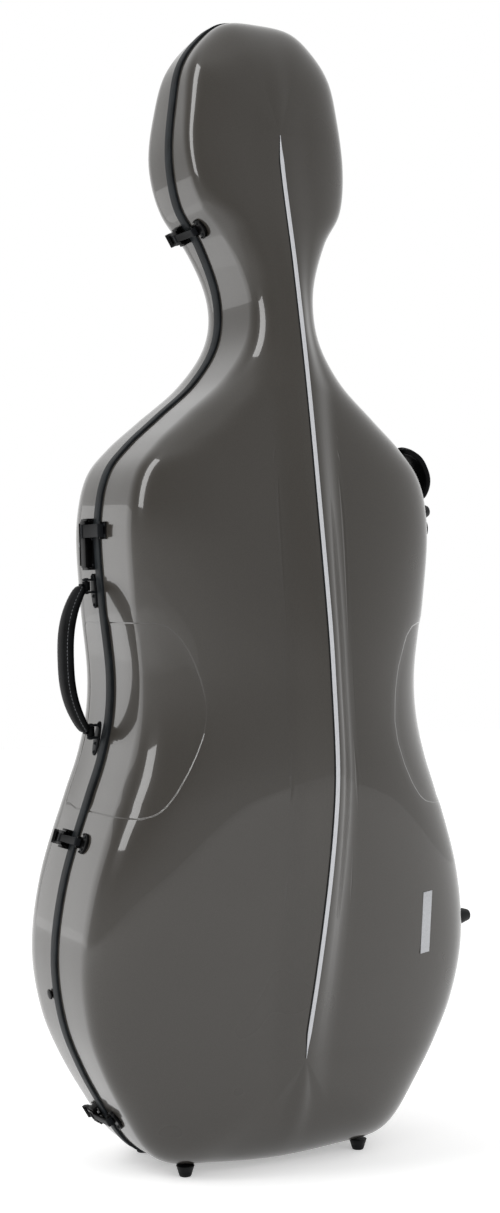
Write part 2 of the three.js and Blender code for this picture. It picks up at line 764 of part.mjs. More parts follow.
// A toggle: its lever turns on the base plate and carries a hook that pulls on the lid's keeper
function addLatch(name, share, size) {
  const frame = wallFrame(caseLength * share, size.halfHeight, -1)
  const plateTop = touchGap + latchPlate
  const nearDepth = sealWidth + touchGap
  const pinX = touchGap + latchPivotHeight
  const pinY = latchPivotDepth
  const hookX = pinX + hookRise
  const hookY = pinY + hookSetback
  const half = size.halfHeight
  const middle = size.hookCentre
  const slot = size.hookHalfWidth + touchGap
  const earInside = half - latchEar
  const leverHalf = earInside - touchGap
  const plate = block([touchGap, nearDepth, -half], [plateTop, nearDepth + size.plateDepth, half])
  const ear = (low, high) => block(
    [plateTop - touchGap, pinY - latchPivotHeight + touchGap, low],
    [pinX + latchPinRadius * 2, pinY + latchPivotHeight, high]
  )
  const pin = bar(latchPinRadius, pinX, pinY, -half + touchGap, half - touchGap)
  addPiece(`${name}_base`, join(plate, ear(-half, -earInside), ear(earInside, half), pin), 'plastic', frame)

  const back = latchPinRadius + pinGap + cutOverrun
  const cheekTop = hookX + latchPinRadius
  const cheekEnd = hookY + back + cutOverrun
  const cheek = (low, high) => block([pinX - back, pinY - back, low], [cheekTop, cheekEnd, high])
  const paddleStart = hookY + back
  const paddleEnd = pinY + size.leverReach
  const paddle = prism([
    [pinX - back, paddleStart],
    [cheekTop, paddleStart],
    [pinX + leverThickness / 2, paddleEnd - leverTipRise * 2],
    [pinX + leverThickness / 2 + size.tipRise, paddleEnd],
    [pinX - leverThickness / 2 + size.tipRise, paddleEnd],
    [pinX - leverThickness / 2, paddleEnd - leverTipRise * 2]
  ], -leverHalf, leverHalf)
  const hookPin = bar(latchPinRadius, hookX, hookY, middle - slot - touchGap, middle + slot + touchGap)
  const leverBore = bar(latchPinRadius + pinGap, pinX, pinY, -half, half)
  const cheeks = [cheek(-leverHalf, middle - slot), cheek(middle + slot, leverHalf)]
  const leverBody = asSolid(paddle).add(asSolid(cheeks[0])).add(asSolid(cheeks[1]))
  const lever = leverBody.subtract(asSolid(leverBore)).add(asSolid(hookPin))
  addPiece(`${name}_lever`, asGeometry(lever), 'plastic', frame)

  const lipNear = -keeperLipSetback
  const lipFar = lipNear - noseLength
  const lipTop = plateTop + keeperLipHeight
  const noseNear = lipFar - touchGap
  const hookLow = hookX - hookThickness / 2
  const hookHigh = hookX + hookThickness / 2
  const noseFar = noseNear - noseLength
  const arm = prism([
    [plateTop + touchGap * 2, noseFar],
    [hookHigh - touchGap, noseFar],
    [hookHigh, noseFar + noseLength],
    [hookHigh, hookY],
    [hookLow, hookY],
    [hookLow, noseNear],
    [plateTop + touchGap * 2, noseNear]
  ].reverse(), middle - size.hookHalfWidth, middle + size.hookHalfWidth)
  const eyeTop = middle + size.hookHalfWidth
  const eye = bar(latchPinRadius + cutOverrun, hookX, hookY, middle - size.hookHalfWidth, eyeTop)
  const eyeBore = bar(latchPinRadius + pinGap, hookX, hookY, middle - half, middle + half)
  addPiece(`${name}_hook`, cut(join(arm, eye), eyeBore), 'blackMetal', frame)

  const tongueHalf = size.hookHalfWidth + latchEar
  const tongue = block(
    [touchGap, -size.keeperReach, middle - tongueHalf],
    [plateTop, -lidRimGap - touchGap, middle + tongueHalf]
  )
  const lip = block(
    [plateTop - touchGap, lipFar, middle - tongueHalf],
    [Math.min(lipTop, hookLow - touchGap), lipNear, middle + tongueHalf]
  )
  const flanges = []
  if (size.roundKeeper) {
    const disc = stud(keeperRadius, touchGap, plateTop, -size.keeperReach, middle)
    const seamSide = block(
      [-cutOverrun, keeperFlatInset - size.keeperReach, middle - keeperRadius * 2],
      [plateTop + cutOverrun, keeperRadius * 2, middle + keeperRadius * 2]
    )
    flanges.push(cut(disc, seamSide))
  }
  addPiece(`${name}_keeper`, join(tongue, lip, ...flanges), 'plastic', frame)
  return frame
}

const smallLatch = {
  halfHeight: latchWidth / 2,
  hookCentre: 0,
  hookHalfWidth: hookHalfWidth,
  plateDepth: latchPlateDepth,
  leverReach: leverReach,
  tipRise: leverTipRise,
  keeperReach: keeperReach,
  roundKeeper: true
}
addLatch('upper_latch', upperLatchShare, smallLatch)
addLatch('middle_latch', middleLatchShare, smallLatch)
addLatch('lower_latch', lowerLatchShare, smallLatch)
const lockFrame = addLatch('lock', lockShare, {
  halfHeight: lockLength / 2,
  hookCentre: lockHookInset - lockLength / 2,
  hookHalfWidth: lockHookHalfWidth,
  plateDepth: lockPlateDepth,
  leverReach: lockLeverReach,
  tipRise: 0,
  keeperReach: lockKeeperReach,
  roundKeeper: false
})
const cylinderLow = touchGap + latchPlate + touchGap
const cylinderHigh = cylinderLow + cylinderHeight
const cylinderDepth = latchPivotDepth + lockLeverReach + cylinderRadius + cutOverrun
const cylinderBody = stud(cylinderRadius, cylinderLow, cylinderHigh, cylinderDepth, 0)
const keySlot = block(
  [cylinderLow + cylinderHeight / 2, cylinderDepth - keySlotHalfWidth, -cylinderRadius / 2],
  [cylinderHigh + cutOverrun, cylinderDepth + keySlotHalfWidth, cylinderRadius / 2]
)
addPiece('lock_cylinder', cut(cylinderBody, keySlot), 'metal', lockFrame)

const rounded = (value) => Math.sign(value) * Math.abs(value) ** gripRoundPower

const plateDown = bracketLength * bracketLowerShare
const plateUp = bracketLength - plateDown

// A carrying handle: a padded grip whose end eyes turn on the pins of two wall brackets
function addHandle(name, side, bottomHeight, topHeight, depth, bow) {
  const ends = [bottomHeight, topHeight].map((height) => {
    const frame = wallFrame(height, plateDown, side)
    frame.updateMatrixWorld()
    const pinPoint = new THREE.Vector3(handlePinHeight, depth, 0).applyMatrix4(frame.matrixWorld)
    return { frame, pinPoint }
  })
  const along = ends[1].pinPoint.clone().sub(ends[0].pinPoint)
  const chord = along.length()
  along.normalize()
  const off = new THREE.Vector3(along.z * side, 0, -along.x * side)
  const across = new THREE.Vector3().crossVectors(along, off)
  const grip = new THREE.Group()
  grip.position.copy(ends[0].pinPoint).lerp(ends[1].pinPoint, 0.5)
  grip.quaternion.setFromRotationMatrix(new THREE.Matrix4().makeBasis(off, across, along))
  group.add(grip)
  grip.updateMatrixWorld()
  const toGrip = grip.matrixWorld.clone().invert()
  const labels = ['bottom', 'top']
  ends.forEach(({ frame }, k) => {
    const toWorld = frame.matrixWorld
    const middle = (k === 0 ? -1 : 1) * chord / 2
    const earGap = eyeLength / 2 + touchGap
    const plate = block(
      [touchGap, depth - bracketWidth / 2, side > 0 ? -plateDown : -plateUp],
      [touchGap + bracketThickness, depth + bracketWidth / 2, side > 0 ? plateUp : plateDown]
    ).applyMatrix4(toWorld).applyMatrix4(toGrip)
    const earFoot = -handlePinHeight - bracketThickness
    const insideWall = block(
      [-bracketLength, depth - bracketWidth, -bracketLength],
      [touchGap, depth + bracketWidth, bracketLength]
    ).applyMatrix4(toWorld).applyMatrix4(toGrip)
    const ear = (low, high) => [
      block([earFoot, -eyeRadius, middle + low], [0, eyeRadius, middle + high]),
      bar(eyeRadius, 0, 0, middle + low, middle + high)
    ]
    const pin = bar(handlePinRadius, 0, 0, middle - earGap - touchGap, middle + earGap + touchGap)
    const earTop = earGap + bracketThickness
    const bracket = join(plate, ...ear(-earTop, -earGap), ...ear(earGap, earTop), pin)
    addPiece(`${name}_bracket_${labels[k]}`, cut(bracket, insideWall), 'blackMetal', grip)
  })
  const sections = []
  const inner = chord / 2 - handlePinRadius / 2
  for (let i = 0; i <= gripSteps; i += 1) {
    const t = i / gripSteps * 2 - 1
    const swell = 1 - t ** gripSwellPower
    const x = bow * (1 - Math.abs(t) ** gripBowPower) + gripLift
    const z = inner * t
    const halfWidth = gripWidth / 2 * (gripEndShare + (1 - gripEndShare) * swell)
    const halfThick = gripThickness / 2 * (gripEndShare + (1 - gripEndShare) * swell)
    const fall = bow * gripBowPower * Math.abs(t) ** (gripBowPower - 1) * Math.sign(t)
    const tilt = Math.atan2(fall, inner)
    const section = []
    for (let k = 0; k < gripSides; k += 1) {
      const turn = (k + 0.5) / gripSides * Math.PI * 2
      const thick = halfThick * rounded(Math.cos(turn))
      const wide = halfWidth * rounded(Math.sin(turn))
      section.push(new THREE.Vector3(x + thick * Math.cos(tilt), wide, z + thick * Math.sin(tilt)))
    }
    sections.push(section)
  }
  const barAt = (radius, centre, reach) => bar(radius, 0, 0, centre - reach, centre + reach)
  const centres = [-chord / 2, chord / 2]
  const eyes = centres.map((centre) => barAt(eyeRadius, centre, eyeLength / 2))
  const links = centres.map((centre) => block(
    [0, -eyeRadius / 2, centre - eyeLength / 4],
    [gripLift, eyeRadius / 2, centre + eyeLength / 4]
  ))
  const bores = centres.map((centre) => barAt(handlePinRadius + pinGap, centre, eyeLength))
  addPiece(`${name}_grip`, cut(join(loft(sections), ...eyes, ...links), ...bores), 'leather', grip)
}
const lockBottom = caseLength * lockShare - lockLength / 2
const sideTop = lockBottom - lockToHandle - plateUp
addHandle('side_handle', -1, sideTop - handleLength, sideTop, handleDepth, sideGripBow)
const shoulderBottom = caseLength * shoulderBottomShare
const shoulderTop = shoulderBottom + shoulderHandleLength
addHandle('shoulder_handle', 1, shoulderBottom, shoulderTop, -shoulderHandleDepth, shoulderGripBow)

// Padding that follows the base's inner wall from one height to another
function wallPad(lowHeight, highHeight, side) {
  const along = []
  outline.forEach((edge, i) => {
    const inside = edge.z >= lowHeight && edge.z <= highHeight
    if (edge.x * side > 0 && inside) along.push([edge, outlineNormals[i]])
  })
  return padGeometry(along)
}

function padGeometry(along) {
  const outer = -liningInner - touchGap
  const inner = outer - padThickness
  const sections = along.map(([edge, normal]) => {
    const corner = (offset, depth) => {
      const point = edge.clone().addScaledVector(normal, offset)
      point.y = depth
      return point
    }
    const chamfer = padThickness / 4
    return [
      corner(outer, padInset),
      corner(outer, padInset + padDepth),
      corner(inner + chamfer, padInset + padDepth),
      corner(inner, padInset + padDepth - chamfer),
      corner(inner, padInset + chamfer),
      corner(inner + chamfer, padInset)
    ]
  })
  return loft(sections)
}
const padHeights = ([low, high]) => [caseLength * low, caseLength * high]
for (const [side, direction] of [['left', -1], ['right', 1]]) {
  const lowerPad = wallPad(...padHeights(lowerPadShares), direction)
  const upperPad = wallPad(...padHeights(upperPadShares), direction)
  addPiece(`lower_pad_${side}`, lowerPad, 'padding')
  addPiece(`upper_pad_${side}`, upperPad, 'padding')
}
const endPoints = []
outline.forEach((edge, i) => {
  const wanted = Math.abs(edge.x) <= lowerBoutWidth * endPadShare / 2 && edge.z < crestLow
  if (wanted) endPoints.push([edge, outlineNormals[i]])
})
endPoints.sort((a, b) => a[0].x - b[0].x)
addPiece('end_pad', padGeometry(endPoints), 'padding')

// Cradle and strap that hold the instrument's neck
const cradleZ = caseLength * cradleShare
const cradleSeats = []
for (const along of [-1, -0.5, 0, 0.5, 1]) {
  for (const across of [-1, 0, 1]) {
    const above = new THREE.Vector3(across * cradleWidth / 4, 0, cradleZ + along * cradleLength / 2)
    cradleSeats.push(meet(baseLining, above, yUnit).y)
  }
}
const cradleBack = Math.min(...cradleSeats) - touchGap * 2
const cradleFront = cradleBack - cradleHeight
const cradleBlock = prism([
  [-cradleWidth / 2, cradleFront],
  [cradleWidth / 2, cradleFront],
  [cradleWidth / 2, cradleFront + cradleHeight / 3],
  [cradleWidth / 4, cradleBack],
  [-cradleWidth / 4, cradleBack],
  [-cradleWidth / 2, cradleFront + cradleHeight / 3]
], cradleZ - cradleLength / 2, cradleZ + cradleLength / 2)
const neckChannel = bar(neckRadius, 0, cradleFront, cradleZ - cradleLength, cradleZ + cradleLength)
addPiece('neck_cradle', cut(cradleBlock, neckChannel), 'padding')
const strapFront = cradleFront - touchGap - strapThickness
const strap = block(
  [-cradleWidth / 2, strapFront, cradleZ - strapWidth / 2],
  [cradleWidth / 2, cradleFront - touchGap, cradleZ + strapWidth / 2]
)
addPiece('neck_strap', strap, 'lining')

// Two bow holders in the lid: a pocket for the tip and a turning clip for the frog
for (const [side, direction] of [['left', -1], ['right', 1]]) {
  const inwards = yUnit.clone().negate()
  const pocketCentre = new THREE.Vector3(direction * bowSpread, 0, caseLength * pocketShare)
  const half = pocketWidth / 2
  const long = pocketLength / 2
  const pocketFrame = seat(lidLining, pocketCentre, inwards, xUnit, half, zUnit, long)
  const outside = block([-half, -long, 0], [half, long, pocketDepth])
  const hollow = block(
    [-half + pocketWall, -long - cutOverrun, pocketWall],
    [half - pocketWall, long - pocketWall, pocketDepth - pocketWall]
  )
  addPiece(`bow_pocket_${side}`, cut(outside, hollow).applyMatrix4(pocketFrame), 'lining')
  const clipCentre = new THREE.Vector3(direction * bowFrogSpread, 0, caseLength * clipShare)
  const flangeRadius = clipPostRadius * 2
  const clipSeat = seat(lidLining, clipCentre, inwards, xUnit, flangeRadius, zUnit, flangeRadius)
  const clipFrame = new THREE.Group()
  clipFrame.applyMatrix4(clipSeat)
  group.add(clipFrame)
  const flange = bar(flangeRadius, 0, 0, 0, pocketWall)
  const post = bar(clipPostRadius, 0, 0, 0, clipPostHeight)
  const spindle = bar(pinRadius, 0, 0, 0, clipPostHeight + clipThickness + touchGap * 2)
  addPiece(`bow_clip_post_${side}`, join(flange, post, spindle), 'plastic', clipFrame)
  const clipLow = clipPostHeight + touchGap
  const wing = block(
    [-clipWidth / 2, -clipLength / 2, clipLow],
    [clipWidth / 2, clipLength / 2, clipLow + clipThickness]
  )
  const clipBore = bar(pinRadius + pinGap, 0, 0, 0, clipPostHeight * 2)
  addPiece(`bow_clip_${side}`, cut(wing, clipBore), 'plastic', clipFrame)
}

// The origin is the middle of the box's underside, on the floor
const extent = new THREE.Box3().setFromObject(group, true)
const middle = extent.getCenter(new THREE.Vector3())
group.position.set(-middle.x, -middle.y, -extent.min.z)

export default group
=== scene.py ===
"""Looks for a cello's hard case: glossy moulded shells, rubber seal, latches, handles and padding."""

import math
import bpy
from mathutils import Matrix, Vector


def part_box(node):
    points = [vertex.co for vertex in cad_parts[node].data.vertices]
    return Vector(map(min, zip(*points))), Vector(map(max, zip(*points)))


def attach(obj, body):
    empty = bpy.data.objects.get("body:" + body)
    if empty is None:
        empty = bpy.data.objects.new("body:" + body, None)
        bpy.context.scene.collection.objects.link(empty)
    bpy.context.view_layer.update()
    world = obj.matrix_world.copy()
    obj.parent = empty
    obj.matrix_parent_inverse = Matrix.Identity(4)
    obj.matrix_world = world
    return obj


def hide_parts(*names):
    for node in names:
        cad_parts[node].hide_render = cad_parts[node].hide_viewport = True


bl_info = {
    "name": "Cello Hard Case",
    "version": (1, 0, 0),
    "blender": (4, 5, 0),
    "location": "View3D > Sidebar > Cello Case",
    "description": "Builds the visible pieces of a cello hard case around its packed model",
    "category": "Object",
}

from contextlib import contextmanager

import bmesh
import bpy
import numpy as np
from bpy.props import FloatProperty, FloatVectorProperty, IntProperty, PointerProperty
from mathutils import Matrix, Vector

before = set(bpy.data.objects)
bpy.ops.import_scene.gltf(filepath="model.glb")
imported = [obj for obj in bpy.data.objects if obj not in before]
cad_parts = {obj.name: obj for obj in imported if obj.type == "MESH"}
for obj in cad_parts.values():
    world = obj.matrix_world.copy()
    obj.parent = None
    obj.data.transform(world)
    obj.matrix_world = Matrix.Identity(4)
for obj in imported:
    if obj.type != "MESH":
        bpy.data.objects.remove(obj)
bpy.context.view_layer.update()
MM = 0.001

# Sizes of the moulded body, in mm
CASE_LENGTH = 1326.7
LOWER_BOUT, WAIST, UPPER_BOUT, NECK, HEAD = 496.0, 358.8, 389.2, 81.0, 207.6
LID_DEPTH, BASE_DEPTH = 199.5, 127.0
KEEL_HEIGHT, KEEL_HALF_WIDTH = 28.0, 42.0
BACK_CORNER, BACK_CORNER_SHARE = 60.0, 0.55
BACK_CROWN_SHARE = 0.03
SHELL_WALL, LINING, GAP = 3.0, 4.0, 0.35
FOAM_UNDER_PLUSH = 1.9
LID_RIM_GAP = 0.5
SEAL_WIDTH, SEAL_PROUD, SEAL_LIP, SEAL_WEB, SEAL_INNER = 15.0, 2.5, 2.0, 2.4, 9.0
SEAL_ROUND, SEAL_CHAMFER, SEAL_HOLLOW = 0.9, 0.3, 0.25
BASE_RIM_GAP = SEAL_WEB + GAP
CREST_LOW, CREST_HIGH = 0.098 * CASE_LENGTH, 0.893 * CASE_LENGTH
CAD_STEPS, LINING_CUTS = 84, 3

# How far the marks for the relief reach, in mm. Below and above the pairs of heights the
# crease at the keel's foot fades, at a rate for each mm
MARK_REACH = 20.0
CREASE_FADES = ((0.23 * CASE_LENGTH, 0.59 * CASE_LENGTH, 0.04), (420, 880, 1 / 60))

# The strip on the keel and a dark bead under it, wider on the strip's left, that paints the
# shadow line along the strip's edge as painted shadow: half widths, rise, finish and slot
STRIP_POINTS, STRIP_END_GAP, STRIP_TAPER, STRIP_TIP_SHARE = 260, 0.5, 30, 0.06
STRIP_ARC_POINTS, STRIP_ROUND_POWER, STRIP_FOOT_SHARE, STRIP_FOOT_GAP = 9, 0.7, 0.6, 0.1
STRIPS = {
    "keel_strip_aluminium": (2.8, 2.8, 1.4, "bright_strip", "bright_metal", ("keel_strip",)),
    "keel_strip_bedding": (3.7, 3.0, 0.5, "seal_rubber", "black_rubber", ()),
}

# Feet and strap button: shares of the case's length, and mm
SIDE_FEET = {"upper": (0.5678, 12.0), "lower": (0.1985, 17.0)}
SIDE_FOOT_DEPTHS = {"lid": -70.0, "base": 42.0}
SIDE_FOOT_HALF = 9.5
FOOT_PLATE_HEIGHT, FOOT_PLATE_DEPTH, FOOT_PLATE_THICKNESS, FOOT_PLATE_EDGE = 733, -74, 3, 0.7
FOOT_PLATE_HALF_WIDTH, FOOT_PLATE_HALF_LENGTH, FOOT_PLATE_SIDES = 8, 11, 40
BUTTON_SHARE, BUTTON_HALF, BUTTON_DEPTH = 0.1501, 6, 26
BUTTON_PROFILE = [(0, 0), (4.2, 0), (4.1, 1.2), (5.8, 1.9), (6, 2.7), (5.4, 3.6), (3, 4), (0, 4)]

# Latches: share of the case's length, and half the plate's length
LOCK_SHARE, LOCK_HALF = 0.5366, 29.5
LATCHES = {
    "upper_latch": (0.8131, 11.0), "middle_latch": (0.2815, 11.0),
    "lower_latch": (0.0439, 11.0), "lock": (LOCK_SHARE, LOCK_HALF),
}
LATCH_PLATE = 2.0
LATCH_SCREW = 1.7
RIDGE_COUNT, RIDGE_PITCH, RIDGE_RADIUS, RIDGE_INSET, RIDGE_SLOPE = 4, 1.7, 0.55, 2.2, 0.12
RIDGE_FIRST, RIDGE_SUNK = 1.6, 0.35
KEEPER_RIM_DEPTH, KEEPER_RIM_RADIUS, KEEPER_RIM_BEAD, KEEPER_RIM_RISE = -18, 10.9, 0.9, 0.35
KEEPER_RIM_START, KEEPER_RIM_SWEEP, KEEPER_RIM_STEPS = 66, 228, 28

# Screws on each latch's plates, as places (depth, along the wall)
BASE_SCREWS = {
    "lock": [(20, -6), (20, 24), (46, -24), (46, 22)],
    "latch": [(34.2, -6.5), (34.2, 6.5)],
}
KEEPER_SCREWS = {
    "lock": [(-14.5, -21), (-14.5, -9)],
    "latch": [(-19.5, -7), (-19.5, 7)],
}

# Handle brackets: a lens-shaped plate, two ears and a pin, in mm
BRACKET_DOWN, BRACKET_UP, BRACKET_HALF_WIDTH, BRACKET_PLATE = 26.4, 13.6, 6.9, 2.5
BRACKET_LENS_POWER, BRACKET_SIDES = 0.85, 48
BRACKET_SCREWS = (10.0, -12.5, -22.5)
EAR_INSIDE, EAR_THICKNESS, EAR_RADIUS, EAR_STEPS = 5.85, 2.5, 4.6, 16
EAR_FOOT, EAR_FOOT_HALF, EAR_EDGE = -9.3, 5.4, 0.5
PIN_OFF_WALL = 11
HANDLE_PIN_PROFILE = [
    (0, -9.3), (1.7, -9.3), (2.9, -9.0), (2.9, -8.5), (2.0, -8.4),
    (2.0, 8.4), (2.9, 8.5), (2.9, 9.0), (1.7, 9.3), (0, 9.3),
]

# Handles: side of the case, lowest and highest bracket, depth, bow, half width and body
SIDE_HANDLE_SPAN, SHOULDER_HANDLE_SPAN, LOCK_TO_HANDLE = 170.4, 51.7, 4
SIDE_HANDLE_TOP = CASE_LENGTH * LOCK_SHARE - LOCK_HALF - LOCK_TO_HANDLE - BRACKET_UP
SHOULDER_HANDLE_BOTTOM = CASE_LENGTH * 0.576
HANDLES = {
    "side_handle": (-1, SIDE_HANDLE_TOP - SIDE_HANDLE_SPAN, SIDE_HANDLE_TOP, 24.0, 22.0, 17.5, "base"),
    "shoulder_handle": (
        1, SHOULDER_HANDLE_BOTTOM, SHOULDER_HANDLE_BOTTOM + SHOULDER_HANDLE_SPAN,
        -44.0, 18.0, 15.4, "lid"),
}

# The leather grip: its steps, the bow's power, and how far it thins from its middle to its ends
GRIP_STEPS, GRIP_SIDES, GRIP_OFF_PINS, GRIP_END_GAP, GRIP_BOW_POWER = 60, 36, 6.2, 1, 2.6
GRIP_NARROW_SHARE, GRIP_THIN_SHARE, TIP_NARROW_SHARE, TIP_THIN_SHARE = 0.78, 0.76, 0.35, 0.3
GRIP_END_POWER, GRIP_ROUND_POWER, GRIP_BACK_SHARE, GRIP_LIP_STEEPNESS = 40, 0.75, 0.7, 12
GRIP_ROLL_POWER, GRIP_ROLL_ROUNDING, STITCH_END_SHARE, STITCH_RISE = 2.2, 0.6, 0.985, 0.15
GRIP_LOOP_PROFILE = [
    (2.35, -5.1), (4.2, -5.5), (4.6, -5.0), (4.6, 5.0), (4.2, 5.5), (2.35, 5.1), (2.35, -5.1),
]
LINK_START, LINK_LENGTH, LINK_HALF, LINK_FLARE = 3.4, 4.2, 2.3, 2.6
LINK_HALF_THICKNESS, LINK_STEPS, LINK_EDGE = 2.75, 8, 0.8

# Rounded edges of the smaller pieces and what the pads swell by, in mm
PIN_EDGE, BADGE_EDGE, POST_EDGE, CLIP_EDGE, POCKET_EDGE, STRAP_EDGE = 0.3, 0.35, 0.5, 1.2, 0.9, 0.8
PAD_VOXEL, PAD_GROWTH, CRADLE_GROWTH = 2.2, 0.5, 0.3
PAD_SMOOTHING, PAD_SMOOTHING_STEPS = 0.6, 14

# One screw head, one millimetre in radius, as (radius, height)
SCREW_PROFILE = [
    (0, 0.25), (0.34, 0.25), (0.38, 0.62), (0.62, 0.6), (0.88, 0.42), (1, 0.12), (1, -0.3), (0, -0.3),
]

# The room, in metres: lamps with their place, size, power setting and whether gloss reflects them
ROOM_MIDDLE = Vector((0, 0, 0.66))
LAMPS = {
    "left_strip": ((-2.9, 0.3, 2.6), 1.0, 2.6, "strip_power", True),
    "back_left_bank": ((-1.9, 2.6, 0.6), 1.8, 1.3, "back_power", True),
    "front_fill": ((0.9, -3.6, 2.2), 2.4, 2.4, "fill_power", False),
}
WALL_RADIUS, WALL_STEPS, WALL_ROWS, WALL_TURN_POWER = 5, 48, 32, 1.5
SENSOR_WIDTH, CLIP_START, CLIP_END = 36, 0.05, 60

# The seam's half outline: share of the length, share of a width, and that width.
OUTLINE = [
    (0, 0, LOWER_BOUT), (0.0034, 0.323, LOWER_BOUT), (0.009, 0.558, LOWER_BOUT),
    (0.0211, 0.653, LOWER_BOUT), (0.0562, 0.779, LOWER_BOUT), (0.092, 0.884, LOWER_BOUT),
    (0.128, 0.959, LOWER_BOUT), (0.181, 1, LOWER_BOUT), (0.2454, 0.957, LOWER_BOUT),
    (0.318, 0.833, LOWER_BOUT), (0.3508, 1.067, WAIST), (0.3852, 1.011, WAIST),
    (0.422, 1, WAIST), (0.4884, 1.056, WAIST), (0.5578, 1, UPPER_BOUT),
    (0.5981, 0.941, UPPER_BOUT), (0.6216, 0.814, UPPER_BOUT), (0.647, 0.621, UPPER_BOUT),
    (0.6799, 0.371, UPPER_BOUT), (0.7157, 1.074, NECK), (0.7538, 1.012, NECK),
    (0.8012, 0.625, HEAD), (0.8326, 0.891, HEAD), (0.8744, 1, HEAD), (0.9203, 0.963, HEAD),
    (0.958, 0.867, HEAD), (0.9821, 0.655, HEAD), (0.9968, 0.406, HEAD), (1, 0, HEAD),
]

# Along the length: lid wall, crown, base wall, base depth, keel.
SECTIONS = np.array([
    (0, 0.246, 2, 0.323, 0.819, 0), (0.009, 0.246, 2, 0.331, 0.827, 0),
    (0.186, 0.311, 2.4, 0.504, 1, 0.62), (0.414, 0.326, 1.95, 0.472, 0.953, 1),
    (0.567, 0.331, 2.45, 0.433, 0.913, 0.714), (0.647, 0.331, 2.2, 0.362, 0.835, 0.5),
    (0.742, 0.331, 2, 0.134, 0.449, 0.214), (0.883, 0.135, 2.6, 0.441, 0.772, 0.107),
    (1, 0.02, 2.2, 0.22, 0.598, 0),
])
CREST = np.array([
    (0, 0.501), (0.109, 0.672), (0.164, 0.777), (0.216, 0.867), (0.268, 0.942),
    (0.318, 0.992), (0.354, 1), (0.418, 0.962), (0.467, 0.922), (0.568, 0.807),
    (0.671, 0.682), (0.776, 0.531), (0.884, 0.361), (1, 0.301),
])

# Columns of the sections' table
LID_WALL, LID_CROWN, BASE_WALL, BASE_BACK, KEEL_RISE = range(1, 6)


def hermite(start, end, start_slope, end_slope, t):
    """A cubic between two values with a given slope at each."""
    return (start * (1 + 2 * t) * (1 - t) ** 2 + end * t * t * (3 - 2 * t)
            + start_slope * t * (1 - t) ** 2 + end_slope * t * t * (t - 1))


def smoothstep(t):
    """A share from 0 to 1 that starts and ends level."""
    return t * t * (3 - 2 * t)


def table_value(table, column, z):
    """A smooth value at a height, from a table whose first column is the share of the length."""
    share = np.asarray(z, float) / CASE_LENGTH
    keys = table[:, 0]
    last = len(keys) - 1
    i = np.clip(np.searchsorted(keys, share, side="left") - 1, 0, last - 1)
    span = keys[i + 1] - keys[i]
    t = np.clip((share - keys[i]) / span, 0, 1)
    before, after = np.maximum(i - 1, 0), np.minimum(i + 2, last)
    values = table[:, column]
    start_slope = (values[i + 1] - values[before]) / (keys[i + 1] - keys[before]) * span
    end_slope = (values[after] - values[i]) / (keys[after] - keys[i]) * span
    return hermite(values[i], values[i + 1], start_slope, end_slope, t)


def seam_outline(steps):
    """Points (x, z) of the seam, a closed centripetal spline through the mirrored outline."""
    half = [(width / 2 * share, CASE_LENGTH * height) for height, share, width in OUTLINE]
    ring = np.array(half + [(-x, z) for x, z in reversed(half[1:-1])])
    count = len(ring)
    found = []
    for step in range(steps):
        spot = count * step / steps
        k = int(spot)
        w = spot - k
        p = [ring[(k + offset) % count] for offset in (-1, 0, 1, 2)]
        d = [np.sum((p[j + 1] - p[j]) ** 2) ** 0.25 for j in range(3)]
        t1 = ((p[1] - p[0]) / d[0] - (p[2] - p[0]) / (d[0] + d[1]) + (p[2] - p[1]) / d[1]) * d[1]
        t2 = ((p[2] - p[1]) / d[1] - (p[3] - p[1]) / (d[1] + d[2]) + (p[3] - p[2]) / d[2]) * d[1]
        c2 = -3 * p[1] + 3 * p[2] - 2 * t1 - t2
        c3 = 2 * p[1] - 2 * p[2] + t1 + t2
        found.append(p[1] + t1 * w + c2 * w * w + c3 * w ** 3)
    return np.array(found)


def outline_normals(ring):
    """Outward unit normals in the seam's plane."""
    ahead, behind = np.roll(ring, -1, axis=0), np.roll(ring, 1, axis=0)
    normal = np.stack([ahead[:, 1] - behind[:, 1], behind[:, 0] - ahead[:, 0]], axis=1)
    return normal / np.linalg.norm(normal, axis=1, keepdims=True)


CAD_RING = seam_outline(CAD_STEPS)
BASE_LOW, BASE_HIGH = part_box("base_shell")
ORIGIN = np.array([
    (BASE_LOW.x + BASE_HIGH.x) / 2 / MM,
    BASE_LOW.y / MM - BASE_RIM_GAP,
    BASE_LOW.z / MM,
])


def keel_reach(edge_x):
    """Half the keel's width where the seam is this far from the middle."""
    return np.minimum(KEEL_HALF_WIDTH, np.maximum(np.abs(edge_x), NECK / 2) / 2)


def lid_depth(edge_x, edge_z, middle_z, row):
    """Depth of the lid's outer surface below the seam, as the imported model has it."""
    wall = LID_DEPTH * table_value(SECTIONS, LID_WALL, edge_z)
    power = table_value(SECTIONS, LID_CROWN, edge_z)
    crest = LID_DEPTH * table_value(CREST, 1, middle_z)
    middle_keel = KEEL_HEIGHT * table_value(SECTIONS, KEEL_RISE, middle_z)
    x, z = edge_x * row, middle_z + (edge_z - middle_z) * row
    keel = KEEL_HEIGHT * table_value(SECTIONS, KEEL_RISE, z)
    swell = (1 + np.cos(np.pi * np.minimum(np.abs(x) / keel_reach(edge_x), 1))) / 2
    dome = np.clip(1 - row ** power, 0, 1) ** (1 / power)
    return wall + (crest - middle_keel - wall) * dome + keel * swell * (1 - row ** 4)


